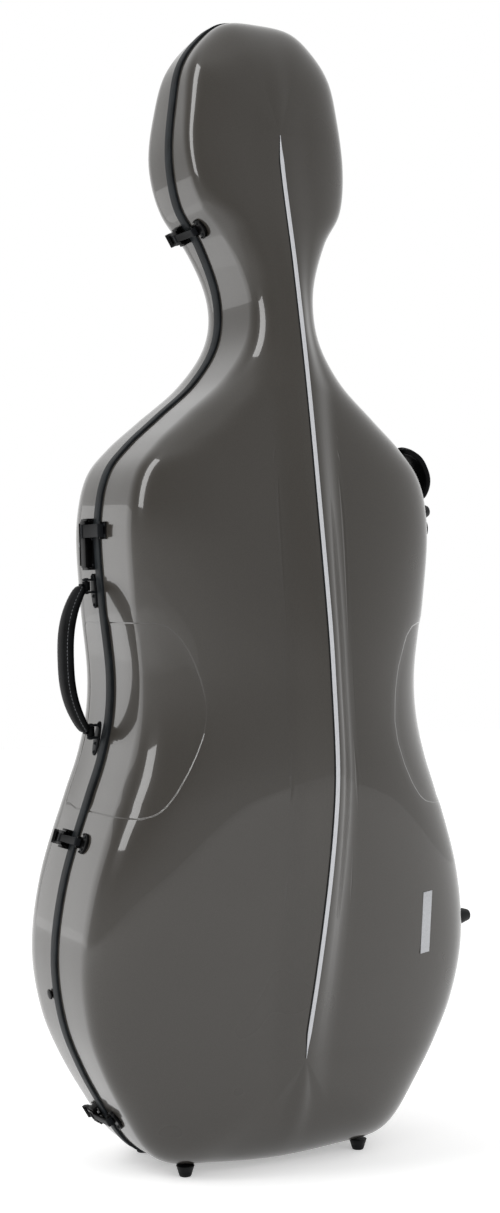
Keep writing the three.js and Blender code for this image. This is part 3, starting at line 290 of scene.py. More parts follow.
# Outlines (x, z) of the shallow panels pressed into the waist, open towards the wall.
LEFT_PANEL = [
    (-174.2, 622), (-165.3, 618.6), (-154.8, 609.2), (-144.3, 591.5), (-138.4, 577),
    (-132.6, 557.9), (-128.9, 536.9), (-128.9, 520.1), (-132.8, 499.5), (-140.9, 479),
    (-149.6, 460.7), (-163.6, 435.9), (-175.3, 420), (-183.8, 413.1), (-196.4, 408.4),
]
RIGHT_PANEL = [
    (165.3, 621), (147.7, 616.8), (136.3, 605.4), (127.3, 586), (120, 568.5), (113.2, 542.3),
    (108.5, 509.3), (111, 484.8), (120.3, 458.1), (132.6, 436.2), (146.3, 420.1),
    (158.5, 413.7), (177.5, 410.4),
]


def inside_panel(points, outline, side):
    """Distance in mm from a panel's edge in the seam's plane, above zero inside the panel."""
    far = 300 * side
    ring = np.array([(far, outline[0][1])] + outline + [(far, outline[-1][1])], float)
    nearest = np.full(len(points), 1e9)
    inside = np.zeros(len(points), bool)
    for a, b in zip(ring, np.roll(ring, -1, axis=0)):
        along = b - a
        share = np.clip(((points - a) @ along) / (along @ along), 0, 1)
        gap = np.linalg.norm(points - a - share[:, None] * along, axis=1)
        nearest = np.minimum(nearest, gap)
        crosses = (a[1] > points[:, 1]) != (b[1] > points[:, 1])
        with np.errstate(divide="ignore", invalid="ignore"):
            at = a[0] + (points[:, 1] - a[1]) / (b[1] - a[1]) * (b[0] - a[0])
        inside ^= crosses & (points[:, 0] < at)
    return np.where(inside, nearest, -nearest)


def panel_distance(x, z):
    """Distance in mm inside (above zero) or outside either panel."""
    points = np.stack([x, z], axis=1)
    return np.maximum(inside_panel(points, LEFT_PANEL, -1), inside_panel(points, RIGHT_PANEL, 1))


def lid_grid(ring, rows, rim):
    """Rows of the lid's outer surface: the rim, the wall's middle and top, and to the crest."""
    x, z = ring.T
    middle = np.clip(z, CREST_LOW, CREST_HIGH)
    wall = LID_DEPTH * table_value(SECTIONS, LID_WALL, z)
    grid = [
        np.stack([x, np.full(len(ring), -rim), z], axis=1),
        np.stack([x, -rim - (wall - rim) * 0.5, z], axis=1),
    ]
    for k in range(rows + 1):
        row = math.cos(math.pi / 2 * k / rows) if k < rows else 0.0
        depth = lid_depth(x, z, middle, row)
        grid.append(np.stack([x * row, -depth, middle + (z - middle) * row], axis=1))
    return np.stack(grid, axis=1)


def base_grid(ring, rows, rim):
    """Rows of the base's outer surface: the rim, the wall, the rounded corner and the back."""
    x, z = ring.T
    middle = np.clip(z, CREST_LOW, CREST_HIGH)
    wall = BASE_DEPTH * table_value(SECTIONS, BASE_WALL, z)
    back = BASE_DEPTH * table_value(SECTIONS, BASE_BACK, z)
    middle_back = BASE_DEPTH * table_value(SECTIONS, BASE_BACK, middle)
    reach = np.hypot(x, z - middle)
    corner = np.minimum(BACK_CORNER, BACK_CORNER_SHARE * reach)
    none = np.zeros(len(ring))

    def at(inward, depth):
        s = inward / reach
        return np.stack([x * (1 - s), depth, z + (middle - z) * s], axis=1)

    grid = [at(none, none + rim), at(none, rim + (wall - rim) * 0.5)]
    for k in range(rows + 1):
        turn = math.pi / 2 * k / rows
        grid.append(at(corner * (1 - math.cos(turn)), wall + (back - wall) * math.sin(turn)))
    flat_share = 1 - corner / reach
    crown = BACK_CROWN_SHARE * BASE_DEPTH
    halfway = middle_back + (back - middle_back) * (0.5 * flat_share) ** 2 + crown * 0.75
    centre = middle_back + crown
    slope = (centre - back) * 0.5
    for k in range(1, rows + 1):
        t = 2 * k / rows
        if t <= 1:
            depth = hermite(back, halfway, 0, slope, t)
        else:
            depth = hermite(halfway, centre, slope, 0, t - 1)
        grid.append(at(reach * (1 - flat_share * (1 - k / rows)), depth))
    return np.stack(grid, axis=1)


# Meshes. Points nearer than the weld distance are one, in metres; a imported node's nearer still
WELD_DISTANCE, NODE_WELD_DISTANCE, COLLAPSED_LENGTH = 2e-5, 1e-5, 1e-7
FLAT_ANGLE = math.radians(1.5)


def place(points, matrix=None):
    """Millimetres in the case's own frame, or in a given one, to metres in the row frame."""
    if matrix is not None:
        points = [tuple(matrix @ Vector(point)) for point in points]
    return (np.asarray(points, float) + ORIGIN) * MM


def add_object(name, data):
    """A new object in the scene."""
    made = bpy.data.objects.new(name, data)
    bpy.context.scene.collection.objects.link(made)
    return made


def remove(thing):
    """Takes an object and its mesh or curve out of the file."""
    data = thing.data
    bpy.data.objects.remove(thing)
    if isinstance(data, bpy.types.Mesh):
        bpy.data.meshes.remove(data)
    else:
        bpy.data.curves.remove(data)


def smooth(piece, sharp_angle=None):
    """Smooth faces, with sharp edges where they turn by more than an angle in degrees."""
    piece.data.polygons.foreach_set("use_smooth", [True] * len(piece.data.polygons))
    if sharp_angle is not None:
        piece.data.set_sharp_from_angle(angle=math.radians(sharp_angle))
    return piece


@contextmanager
def mesh_edit(piece):
    """The piece's mesh, open for editing and written back afterwards."""
    mesh = bmesh.new()
    mesh.from_mesh(piece.data)
    yield mesh
    mesh.to_mesh(piece.data)
    mesh.free()
    piece.data.update()


def new_piece(name, vertices, faces, material):
    """A smooth mesh object at the origin, in metres."""
    mesh = bpy.data.meshes.new(name)
    mesh.from_pydata([tuple(v) for v in vertices], [], [tuple(f) for f in faces])
    mesh.update()
    mesh.materials.append(material)
    return smooth(add_object(name, mesh))


def weld(piece, outwards=True):
    """Merges doubled points, drops collapsed faces and can turn every face outwards."""
    with mesh_edit(piece) as mesh:
        bmesh.ops.remove_doubles(mesh, verts=mesh.verts, dist=WELD_DISTANCE)
        bmesh.ops.dissolve_degenerate(mesh, edges=mesh.edges, dist=COLLAPSED_LENGTH)
        if outwards:
            bmesh.ops.recalc_face_normals(mesh, faces=mesh.faces)
    return piece


def apply_modifiers(piece):
    """Turns the object with its modifiers into a plain mesh."""
    evaluated = piece.evaluated_get(bpy.context.evaluated_depsgraph_get())
    mesh = bpy.data.meshes.new_from_object(evaluated)
    piece.modifiers.clear()
    old = piece.data
    piece.data = mesh
    bpy.data.meshes.remove(old)
    return piece


def soft_edges(piece, width_mm, angle=30.0):
    """A small rounded edge, as a moulded or pressed piece has."""
    bevel = piece.modifiers.new("Edge", "BEVEL")
    bevel.width = width_mm * MM
    bevel.segments = 2
    bevel.limit_method = "ANGLE"
    bevel.angle_limit = math.radians(angle)
    bevel.harden_normals = False
    return smooth(apply_modifiers(piece), 50)


def node_copy(name, node, material, flatten=False):
    """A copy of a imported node's solid, its doubled points merged and, if asked, its flat faces."""
    piece = add_object(name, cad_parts[node].data.copy())
    piece.data.materials.clear()
    piece.data.materials.append(material)
    for label in [a.name for a in piece.data.color_attributes]:
        piece.data.color_attributes.remove(piece.data.color_attributes[label])
    with mesh_edit(piece) as mesh:
        bmesh.ops.remove_doubles(mesh, verts=mesh.verts, dist=NODE_WELD_DISTANCE)
        if flatten:
            bmesh.ops.dissolve_limit(
                mesh, angle_limit=FLAT_ANGLE, verts=mesh.verts, edges=mesh.edges)
    return piece


def from_node(name, node, material, edge_mm, angle=50.0):
    """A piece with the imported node's own shape and rounded edges."""
    return soft_edges(node_copy(name, node, material, flatten=True), edge_mm, angle)


def join_pieces(name, pieces):
    """One object from several of the same material, all at the origin."""
    data = bpy.data.meshes.new(name)
    data.materials.append(pieces[0].data.materials[0])
    mesh = bmesh.new()
    for piece in pieces:
        mesh.from_mesh(piece.data)
    mesh.to_mesh(data)
    mesh.free()
    for piece in pieces:
        remove(piece)
    return add_object(name, data)


def net_faces(count, sides, closed=True, looped=False):
    """Quads of a net of points: closed joins its last row to the first, looped each row's ends."""
    faces = []
    for i in range(count if closed else count - 1):
        for k in range(sides if looped else sides - 1):
            j, m = (i + 1) % count, (k + 1) % sides
            faces.append((i * sides + k, j * sides + k, j * sides + m, i * sides + m))
    return faces


def lofted(name, sections, material, matrix=None):
    """A closed-ended tube through equal rings of points, in mm."""
    sections = np.asarray(sections, float)
    count, sides = sections.shape[:2]
    faces = [(a, d, c, b) for a, b, c, d in net_faces(count, sides, closed=False, looped=True)]
    faces += [tuple(reversed(range(sides))), tuple(range((count - 1) * sides, count * sides))]
    return weld(new_piece(name, place(sections.reshape(-1, 3), matrix), faces, material))


def turned(name, profile, matrix, material, sides=48):
    """A turned piece: profile of (radius, height) in mm about the matrix's Z axis."""
    vertices, rings = [], []
    for radius, height in profile:
        if radius == 0:
            rings.append([len(vertices)])
            vertices.append((0, 0, height))
            continue
        rings.append(list(range(len(vertices), len(vertices) + sides)))
        for k in range(sides):
            turn = 2 * math.pi * k / sides
            vertices.append((radius * math.cos(turn), radius * math.sin(turn), height))
    faces = []
    for low, high in zip(rings[:-1], rings[1:]):
        for k in range(sides):
            a, b = low[k % len(low)], low[(k + 1) % len(low)]
            c, d = high[(k + 1) % len(high)], high[k % len(high)]
            corners = tuple(dict.fromkeys((a, b, c, d)))
            if len(corners) > 2:
                faces.append(corners)
    return smooth(weld(new_piece(name, place(vertices, matrix), faces, material)), 40)


def tube(name, path, radius_mm, material, sides=10):
    """A round bead along a path in mm of the case's own frame."""
    path = [Vector(point) for point in path]
    sections = []
    for i, point in enumerate(path):
        along = (path[min(i + 1, len(path) - 1)] - path[max(i - 1, 0)]).normalized()
        turn = along.to_track_quat("Z", "Y")
        ring = []
        for k in range(sides):
            angle = 2 * math.pi * k / sides
            out = Vector((math.cos(angle), math.sin(angle), 0)) * radius_mm
            ring.append(tuple(point + turn @ out))
        sections.append(ring)
    return smooth(lofted(name, sections, material), 50)


def extruded(name, outline, low, high, matrix, material, edge_mm):
    """A plate from an outline in the matrix's XY plane, between two heights along its Z."""
    count = len(outline)
    vertices = [(x, y, z) for z in (low, high) for x, y in outline]
    faces = [tuple(reversed(range(count))), tuple(range(count, 2 * count))]
    faces += [(k, (k + 1) % count, count + (k + 1) % count, count + k) for k in range(count)]
    return soft_edges(weld(new_piece(name, place(vertices, matrix), faces, material)), edge_mm, 40)


# Frames on the case's wall
def axes_matrix(x_axis, y_axis, z_axis, origin):
    """A frame from its three axes and its origin."""
    return Matrix((*zip(x_axis, y_axis, z_axis, origin), (0, 0, 0, 1)))


def wall_frame(height, half_span, side):
    """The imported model's frame on the seam's outline: X off the wall, Y depth, Z along it."""
    on_side = sorted([p for p in CAD_RING if p[0] * side >= -1e-9], key=lambda p: p[1])

    def at(z):
        i = 0
        while i < len(on_side) - 2 and on_side[i + 1][1] < z:
            i += 1
        share = (z - on_side[i][1]) / (on_side[i + 1][1] - on_side[i][1])
        return on_side[i] + (on_side[i + 1] - on_side[i]) * share

    low, high = at(height - half_span), at(height + half_span)
    along = (high - low) / np.linalg.norm(high - low)
    off = np.array([along[1] * side, -along[0] * side])
    middle = (low + high) / 2
    near = [p - middle for p in on_side if abs((p - middle) @ along) <= half_span * 1.2]
    middle = middle + off * max([step @ off for step in near] + [0.0])
    x_axis, y_axis = Vector((off[0], 0, off[1])), Vector((0, 1, 0))
    return axes_matrix(x_axis, y_axis, x_axis.cross(y_axis), (middle[0], 0, middle[1]))


def off_wall(wall, depth):
    """A frame at a depth on the wall, whose Z runs straight off it."""
    turn = Vector((1, 0, 0)).to_track_quat("Z", "Y").to_matrix().to_4x4()
    return wall @ Matrix.Translation((GAP, depth, 0)) @ turn


def flat_on_wall(wall):
    """A frame that lays an XY outline on the wall: X along the depth, Y along the wall."""
    return wall @ Matrix(((0, 0, 1, GAP), (1, 0, 0, 0), (0, 1, 0, 0), (0, 0, 0, 1)))


def local_bounds(node, matrix):
    """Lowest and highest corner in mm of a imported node, seen in a frame of the case."""
    back = matrix.inverted()
    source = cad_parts[node]
    points = [back @ (Vector((source.matrix_world @ v.co) / MM) - Vector(ORIGIN))
              for v in source.data.vertices]
    return [min(values) for values in zip(*points)], [max(values) for values in zip(*points)]


# Materials
def linear(hex_colour):
    """An sRGB hex colour as linear RGBA."""
    values = [int(hex_colour[i:i + 2], 16) / 255 for i in (1, 3, 5)]
    return tuple(v / 12.92 if v <= 0.04045 else ((v + 0.055) / 1.055) ** 2.4 for v in values) + (1.0,)


def add_node(tree, kind, inputs=None, stops=(), **settings):
    """Adds a node, sets its settings and colour stops, fills or links its inputs: its outputs."""
    made = tree.nodes.new(kind)
    for name, value in settings.items():
        setattr(made, name, value)
    for k, (position, colour) in enumerate(stops):
        made.color_ramp.elements[k].position = position
        made.color_ramp.elements[k].color = linear(colour) if isinstance(colour, str) else colour
    for key, value in (inputs or {}).items():
        if isinstance(value, bpy.types.NodeSocket):
            tree.links.new(value, made.inputs[key])
        else:
            made.inputs[key].default_value = value
    return made.outputs


def open_material(name):
    """An empty material, its tree and the place on the piece that its patterns follow."""
    material = bpy.data.materials.new(name)
    material.use_nodes = True
    material.node_tree.nodes.clear()
    where = add_node(material.node_tree, "ShaderNodeTexCoord")["Object"]
    return material, material.node_tree, where


# A wave texture of scale 1 repeats each tenth of pi. The thread's twist is 1.26 mm long, and
# this divisor makes one wave of a woven cloth two threads wide, one over and one under
WAVE_LENGTH = math.pi / 10
TWIST_LENGTH = 4.0 * WAVE_LENGTH
THREAD_WAVES = 6.5


def per_metre(size_mm):
    """Texture scale for a pattern whose cells are this many millimetres wide."""
    return 1.0 / (size_mm * MM)


def gloss_laminate():
    """Fibre laminate, moulded, pigmented dark grey and clear-coated: deep gloss with a fine flake
    that shows only up close. The relief draws the step round the waist panels and the crease at
    the keel's foot."""
    shell_colour = tuple(bpy.context.scene.cellocase_body.shell_colour)
    material, tree, where = open_material("gloss_laminate")
    flake = add_node(tree, "ShaderNodeTexNoise", {
        "Vector": where, "Scale": per_metre(0.6), "Detail": 2.0})["Fac"]
    cloud = add_node(tree, "ShaderNodeTexNoise", {
        "Vector": where, "Scale": per_metre(160), "Detail": 2.0})["Fac"]
    flecked = add_node(tree, "ShaderNodeValToRGB", {"Fac": flake},
                       stops=((0.35, shell_colour), (0.7, "#403d39")))["Color"]
    clouded = add_node(tree, "ShaderNodeValToRGB", {"Fac": cloud},
                       stops=((0.1, "#f0efed"), (0.9, "#ffffff")))["Color"]
    colour = add_node(tree, "ShaderNodeMix", {"Factor": 1.0, "A": flecked, "B": clouded},
                      data_type="RGBA", blend_type="MULTIPLY")["Result"]
    rough = add_node(tree, "ShaderNodeMapRange", {
        "Value": cloud, "To Min": 0.26, "To Max": 0.3})["Result"]
    panel_edge = add_node(tree, "ShaderNodeAttribute", attribute_name="panel_edge")["Fac"]
    pressed = add_node(tree, "ShaderNodeMapRange", {
        "Value": panel_edge, "From Min": -0.9, "From Max": 0.9, "To Min": 1.0, "To Max": 0.0},
        interpolation_type="SMOOTHSTEP")["Result"]
    keel_edge = add_node(tree, "ShaderNodeAttribute", attribute_name="keel_edge")["Fac"]
    away = add_node(tree, "ShaderNodeMath", {0: keel_edge}, operation="ABSOLUTE")["Value"]
    groove = add_node(tree, "ShaderNodeMapRange", {
        "Value": away, "From Min": 0.0, "From Max": 3.4, "To Min": 0.0, "To Max": 1.1},
        interpolation_type="SMOOTHSTEP")["Result"]
    height = add_node(tree, "ShaderNodeMath", {0: pressed, 1: groove}, operation="ADD")["Value"]
    relief = add_node(tree, "ShaderNodeBump", {
        "Height": height, "Strength": 1.0, "Distance": 0.7 * MM})["Normal"]
    shader = add_node(tree, "ShaderNodeBsdfPrincipled", {
        "Base Color": colour, "Roughness": rough, "IOR": 1.5, "Specular IOR Level": 0.15,
        "Coat Weight": 0.8, "Coat Roughness": 0.035, "Coat IOR": 1.5,
        "Normal": relief, "Coat Normal": relief})["BSDF"]
    add_node(tree, "ShaderNodeOutputMaterial", {"Surface": shader})
    return material


def moulded_rubber(name, low, high, rough_low, rough_high):
    """EPDM rubber, moulded: satin black that dulls in soft patches, with a fine skin."""
    material, tree, where = open_material(name)
    patch = add_node(tree, "ShaderNodeTexNoise", {
        "Vector": where, "Scale": per_metre(14), "Detail": 4.0})["Fac"]
    colour = add_node(tree, "ShaderNodeValToRGB", {"Fac": patch},
                      stops=((0.35, low), (0.68, high)))["Color"]
    rough = add_node(tree, "ShaderNodeMapRange", {
        "Value": patch, "To Min": rough_low, "To Max": rough_high})["Result"]
    skin = add_node(tree, "ShaderNodeTexNoise", {
        "Vector": where, "Scale": per_metre(0.7), "Detail": 3.0})["Fac"]
    relief = add_node(tree, "ShaderNodeBump", {
        "Height": skin, "Strength": 0.25, "Distance": 0.08 * MM})["Normal"]
    shader = add_node(tree, "ShaderNodeBsdfPrincipled", {
        "Base Color": colour, "Roughness": rough, "Normal": relief,
        "IOR": 1.35, "Specular IOR Level": 0.22})["BSDF"]
    add_node(tree, "ShaderNodeOutputMaterial", {"Surface": shader})
    return material


def moulded_nylon():
    """Glass-filled nylon, injection moulded: black with a slight sheen and spark-eroded skin."""
    material, tree, where = open_material("moulded_nylon")
    patch = add_node(tree, "ShaderNodeTexNoise", {
        "Vector": where, "Scale": per_metre(6), "Detail": 3.0})["Fac"]
    colour = add_node(tree, "ShaderNodeValToRGB", {"Fac": patch},
                      stops=((0.3, "#050505"), (0.7, "#0c0c0d")))["Color"]
    rough = add_node(tree, "ShaderNodeMapRange", {
        "Value": patch, "To Min": 0.22, "To Max": 0.38})["Result"]
    skin = add_node(tree, "ShaderNodeTexVoronoi", {
        "Vector": where, "Scale": per_metre(0.5)})["Distance"]
    relief = add_node(tree, "ShaderNodeBump", {
        "Height": skin, "Strength": 0.18, "Distance": 0.05 * MM})["Normal"]
    shader = add_node(tree, "ShaderNodeBsdfPrincipled", {
        "Base Color": colour, "Roughness": rough, "Normal": relief,
        "IOR": 1.35, "Specular IOR Level": 0.12})["BSDF"]
    add_node(tree, "ShaderNodeOutputMaterial", {"Surface": shader})
    return material


def stoved_steel():
    """Steel sheet, stove-enamelled black: smooth, with a soft orange peel and rubbed edges."""
    material, tree, where = open_material("stoved_steel")
    peel = add_node(tree, "ShaderNodeTexNoise", {
        "Vector": where, "Scale": per_metre(2.5), "Detail": 2.0})["Fac"]
    enamel = add_node(tree, "ShaderNodeValToRGB", {"Fac": peel},
                      stops=((0.3, "#060607"), (0.7, "#0e0f10")))["Color"]
    edges = add_node(tree, "ShaderNodeNewGeometry")["Pointiness"]
    worn = add_node(tree, "ShaderNodeMapRange", {
        "Value": edges, "From Min": 0.53, "From Max": 0.6})["Result"]
    colour = add_node(tree, "ShaderNodeMix", {
        "Factor": worn, "A": enamel, "B": linear("#2c2e31")}, data_type="RGBA")["Result"]
    rough = add_node(tree, "ShaderNodeMapRange", {
        "Value": peel, "To Min": 0.28, "To Max": 0.42})["Result"]
    relief = add_node(tree, "ShaderNodeBump", {
        "Height": peel, "Strength": 0.12, "Distance": 0.05 * MM})["Normal"]
    shader = add_node(tree, "ShaderNodeBsdfPrincipled", {
        "Base Color": colour, "Roughness": rough, "Normal": relief,
        "IOR": 1.35, "Specular IOR Level": 0.12})["BSDF"]
    add_node(tree, "ShaderNodeOutputMaterial", {"Surface": shader})
    return material


def brushed_metal(name, low, high, metallic, rough_low, rough_high):
    """Aluminium or steel, brushed along its length: fine bright lines, soft reflections."""
    material, tree, where = open_material(name)
    stretched = add_node(tree, "ShaderNodeMapping", {
        "Vector": where, "Scale": (1.0, 1.0, 0.02)})["Vector"]
    lines = add_node(tree, "ShaderNodeTexNoise", {
        "Vector": stretched, "Scale": per_metre(0.35), "Detail": 3.0})["Fac"]
    colour = add_node(tree, "ShaderNodeValToRGB", {"Fac": lines},
                      stops=((0.3, low), (0.7, high)))["Color"]
    rough = add_node(tree, "ShaderNodeMapRange", {
        "Value": lines, "To Min": rough_low, "To Max": rough_high})["Result"]
    relief = add_node(tree, "ShaderNodeBump", {
        "Height": lines, "Strength": 0.1, "Distance": 0.02 * MM})["Normal"]
    shader = add_node(tree, "ShaderNodeBsdfPrincipled", {
        "Base Color": colour, "Roughness": rough, "Normal": relief, "Metallic": metallic})["BSDF"]
    add_node(tree, "ShaderNodeOutputMaterial", {"Surface": shader})
    return material


def pebbled_leather():
    """Cow hide, dyed black, pebble-grained and rubbed to a low sheen by hands."""
    material, tree, where = open_material("pebbled_leather")
    grain = add_node(tree, "ShaderNodeTexVoronoi", {
        "Vector": where, "Scale": per_metre(1.6)}, feature="DISTANCE_TO_EDGE")["Distance"]
    wear = add_node(tree, "ShaderNodeTexNoise", {
        "Vector": where, "Scale": per_metre(22), "Detail": 4.0})["Fac"]
    colour = add_node(tree, "ShaderNodeValToRGB", {"Fac": wear},
                      stops=((0.35, "#070708"), (0.7, "#101112")))["Color"]
    rough = add_node(tree, "ShaderNodeMapRange", {
        "Value": wear, "To Min": 0.36, "To Max": 0.56})["Result"]
    relief = add_node(tree, "ShaderNodeBump", {
        "Height": grain, "Strength": 0.5, "Distance": 0.25 * MM})["Normal"]
    shader = add_node(tree, "ShaderNodeBsdfPrincipled", {
        "Base Color": colour, "Roughness": rough, "Normal": relief,
        "IOR": 1.35, "Specular IOR Level": 0.1})["BSDF"]
    add_node(tree, "ShaderNodeOutputMaterial", {"Surface": shader})
    return material


def waxed_thread():
    """Polyester thread, waxed: dark grey, painted lighter and lighter still in bands along its twist, as
    a painted highlight of the glints that the stitches catch.
    """
    material, tree, where = open_material("waxed_thread")
    twist_glint = add_node(tree, "ShaderNodeTexWave", {
        "Vector": where, "Scale": per_metre(TWIST_LENGTH) * WAVE_LENGTH, "Distortion": 1.0})["Fac"]
    # Painted highlight: the lighter grey and its bands along the twist stand in for the thread's glints
    colour = add_node(tree, "ShaderNodeValToRGB", {"Fac": twist_glint},
                      stops=((0.2, "#3b3d40"), (0.8, "#5e6164")))["Color"]
    rough = add_node(tree, "ShaderNodeMapRange", {
        "Value": twist_glint, "To Min": 0.45, "To Max": 0.6})["Result"]
    shader = add_node(tree, "ShaderNodeBsdfPrincipled", {
        "Base Color": colour, "Roughness": rough, "IOR": 1.5})["BSDF"]
    add_node(tree, "ShaderNodeOutputMaterial", {"Surface": shader})
    return material


def plush_lining(name, low, high):
    """Brushed nylon plush over thin foam: matt, with patches where the pile leans."""
    material, tree, where = open_material(name)
    lean = add_node(tree, "ShaderNodeTexNoise", {
        "Vector": where, "Scale": per_metre(45), "Detail": 5.0, "Distortion": 0.6})["Fac"]
    pile = add_node(tree, "ShaderNodeTexNoise", {
        "Vector": where, "Scale": per_metre(0.9), "Detail": 2.0})["Fac"]
    both = add_node(tree, "ShaderNodeMath", {0: lean, 1: pile}, operation="MULTIPLY")["Value"]
    colour = add_node(tree, "ShaderNodeValToRGB", {"Fac": both},
                      stops=((0.12, low), (0.42, high)))["Color"]
    relief = add_node(tree, "ShaderNodeBump", {
        "Height": pile, "Strength": 0.6, "Distance": 0.5 * MM})["Normal"]
    shader = add_node(tree, "ShaderNodeBsdfPrincipled", {
        "Base Color": colour, "Normal": relief,
        "Sheen Weight": 0.5, "Sheen Roughness": 0.4, "Roughness": 0.95})["BSDF"]
    add_node(tree, "ShaderNodeOutputMaterial", {"Surface": shader})
    return material


def woven_cloth(name, low, high, thread_mm):
    """Woven polyester: two sets of threads over and under each other."""
    material, tree, where = open_material(name)
    threads = []
    for turn in ((0.0, 0.0, 0.0), (0.0, math.pi / 2, 0.0)):
        laid = add_node(tree, "ShaderNodeMapping", {"Vector": where, "Rotation": turn})["Vector"]
        threads.append(add_node(tree, "ShaderNodeTexWave", {
            "Vector": laid, "Scale": per_metre(thread_mm) / THREAD_WAVES, "Distortion": 0.4,
            "Detail": 1.0}, bands_direction="X")["Fac"])
    both = add_node(tree, "ShaderNodeMath", {0: threads[0], 1: threads[1]},
                    operation="MULTIPLY")["Value"]
    colour = add_node(tree, "ShaderNodeValToRGB", {"Fac": both},
                      stops=((0.05, low), (0.8, high)))["Color"]
    relief = add_node(tree, "ShaderNodeBump", {
        "Height": both, "Strength": 0.5, "Distance": thread_mm / 4 * MM})["Normal"]
    shader = add_node(tree, "ShaderNodeBsdfPrincipled", {
        "Base Color": colour, "Normal": relief,
        "Sheen Weight": 0.2, "Sheen Roughness": 0.5, "Roughness": 0.85})["BSDF"]
    add_node(tree, "ShaderNodeOutputMaterial", {"Surface": shader})
    return material


FINISHES = {
    "laminate": (gloss_laminate,),
    "seal_rubber": (moulded_rubber, "moulded_rubber_seal", "#121517", "#1f2326", 0.42, 0.6),
    "foot_rubber": (moulded_rubber, "moulded_rubber_feet", "#0e0f10", "#1a1b1c", 0.34, 0.52),
    "nylon": (moulded_nylon,),
    "black_steel": (stoved_steel,),
    # The keel strip's pale colour with little metal in it is partly its own bright finish and partly a
    # painted reflection: it stays bright where a metal strip would mirror the dim wall
    "bright_strip": (brushed_metal, "brushed_aluminium_strip", "#b9babd", "#cbccd0", 0.15, 0.32, 0.52),
    "badge": (brushed_metal, "brushed_aluminium_badge", "#a2a4a7", "#bdbec1", 0.35, 0.28, 0.48),
    "bright_steel": (brushed_metal, "brushed_steel_pins", "#9fa1a4", "#c8cacc", 1.0, 0.2, 0.4),
    "leather": (pebbled_leather,),
    "thread": (waxed_thread,),
    "lining": (plush_lining, "plush_lining", "#18181a", "#333337"),
    "padding": (plush_lining, "plush_padding", "#242427", "#47474c"),
    "webbing": (woven_cloth, "woven_webbing", "#141416", "#36373a", 1.6),
    "pocket": (woven_cloth, "woven_pocket", "#17181b", "#3a3b40", 1.1),
}
MATERIALS = {}


def finish(name):
    """Each of the case's finishes, made once."""
    if name not in MATERIALS:
        maker, *values = FINISHES[name]
        MATERIALS[name] = maker(*values)
    return MATERIALS[name]


# Geometry Nodes
def new_tree(name, inputs):
    """A geometry tree with named inputs and a geometry in and out."""
    tree = bpy.data.node_groups.new(name, "GeometryNodeTree")
    tree.interface.new_socket("Geometry", in_out="INPUT", socket_type="NodeSocketGeometry")
    for label, kind, default in inputs:
        socket = tree.interface.new_socket(label, in_out="INPUT", socket_type=kind)
        if default is not None:
            socket.default_value = default
    tree.interface.new_socket("Geometry", in_out="OUTPUT", socket_type="NodeSocketGeometry")
    return tree, add_node(tree, "NodeGroupInput")


def close_tree(tree, geometry, material):
    """Ends a tree with real geometry that carries its material."""
    real = add_node(tree, "GeometryNodeRealizeInstances", {"Geometry": geometry})["Geometry"]
    painted = add_node(tree, "GeometryNodeSetMaterial", {
        "Geometry": real, "Material": material})["Geometry"]
    add_node(tree, "NodeGroupOutput", {"Geometry": painted})
    return tree


def stitch_tree():
    """Stitches laid end to end along each path."""
    tree, given = new_tree("Stitches", [
        ("Spacing", "NodeSocketFloat", 0.004), ("Stitch Length", "NodeSocketFloat", 0.0028),
        ("Stitch Width", "NodeSocketFloat", 0.0008), ("Material", "NodeSocketMaterial", None)])
    spots = add_node(tree, "GeometryNodeCurveToPoints", {
        "Curve": given["Geometry"], "Length": given["Spacing"]}, mode="LENGTH")
    bead = add_node(tree, "GeometryNodeMeshUVSphere", {
        "Segments": 8, "Rings": 6, "Radius": 0.5})["Mesh"]
    size = add_node(tree, "ShaderNodeCombineXYZ", {
        "X": given["Stitch Width"], "Y": given["Stitch Width"],
        "Z": given["Stitch Length"]})["Vector"]
    shaped = add_node(tree, "GeometryNodeTransform", {"Geometry": bead, "Scale": size})["Geometry"]
    laid = add_node(tree, "GeometryNodeInstanceOnPoints", {
        "Points": spots["Points"], "Instance": shaped, "Rotation": spots["Rotation"]})["Instances"]
    return close_tree(tree, laid, given["Material"])


def fastener_tree():
    """One fastener on each point, its head facing along the point's own direction."""
    tree, given = new_tree("Fasteners", [
        ("Fastener", "NodeSocketObject", None), ("Size", "NodeSocketFloat", 1.0),
        ("Material", "NodeSocketMaterial", None)])
    head = add_node(tree, "GeometryNodeObjectInfo", {"Object": given["Fastener"]})["Geometry"]
    facing = add_node(tree, "GeometryNodeInputNamedAttribute", {"Name": "facing"},
                      data_type="FLOAT_VECTOR")["Attribute"]
    turn = add_node(tree, "FunctionNodeAlignRotationToVector", {"Vector": facing},
                    axis="Z")["Rotation"]
    placed = add_node(tree, "GeometryNodeInstanceOnPoints", {
        "Points": given["Geometry"], "Instance": head, "Rotation": turn,
        "Scale": given["Size"]})["Instances"]
    return close_tree(tree, placed, given["Material"])


TREE_MAKERS = {"stitches": stitch_tree, "fasteners": fastener_tree}
TREES = {}


def grown(name, source, tree_name, values):
    """The plain mesh that a tree makes from a source object, its inputs set by name."""
    if tree_name not in TREES:
        TREES[tree_name] = TREE_MAKERS[tree_name]()
    tree = TREES[tree_name]
    modifier = source.modifiers.new(name, "NODES")
    modifier.node_group = tree
    for item in tree.interface.items_tree:
        if item.item_type == "SOCKET" and item.in_out == "INPUT" and item.name in values:
            modifier[item.identifier] = values[item.name]
    evaluated = source.evaluated_get(bpy.context.evaluated_depsgraph_get())
    mesh = bpy.data.meshes.new_from_object(evaluated)
    mesh.name = name
    made = add_object(name, mesh)
    remove(source)
    return smooth(made)


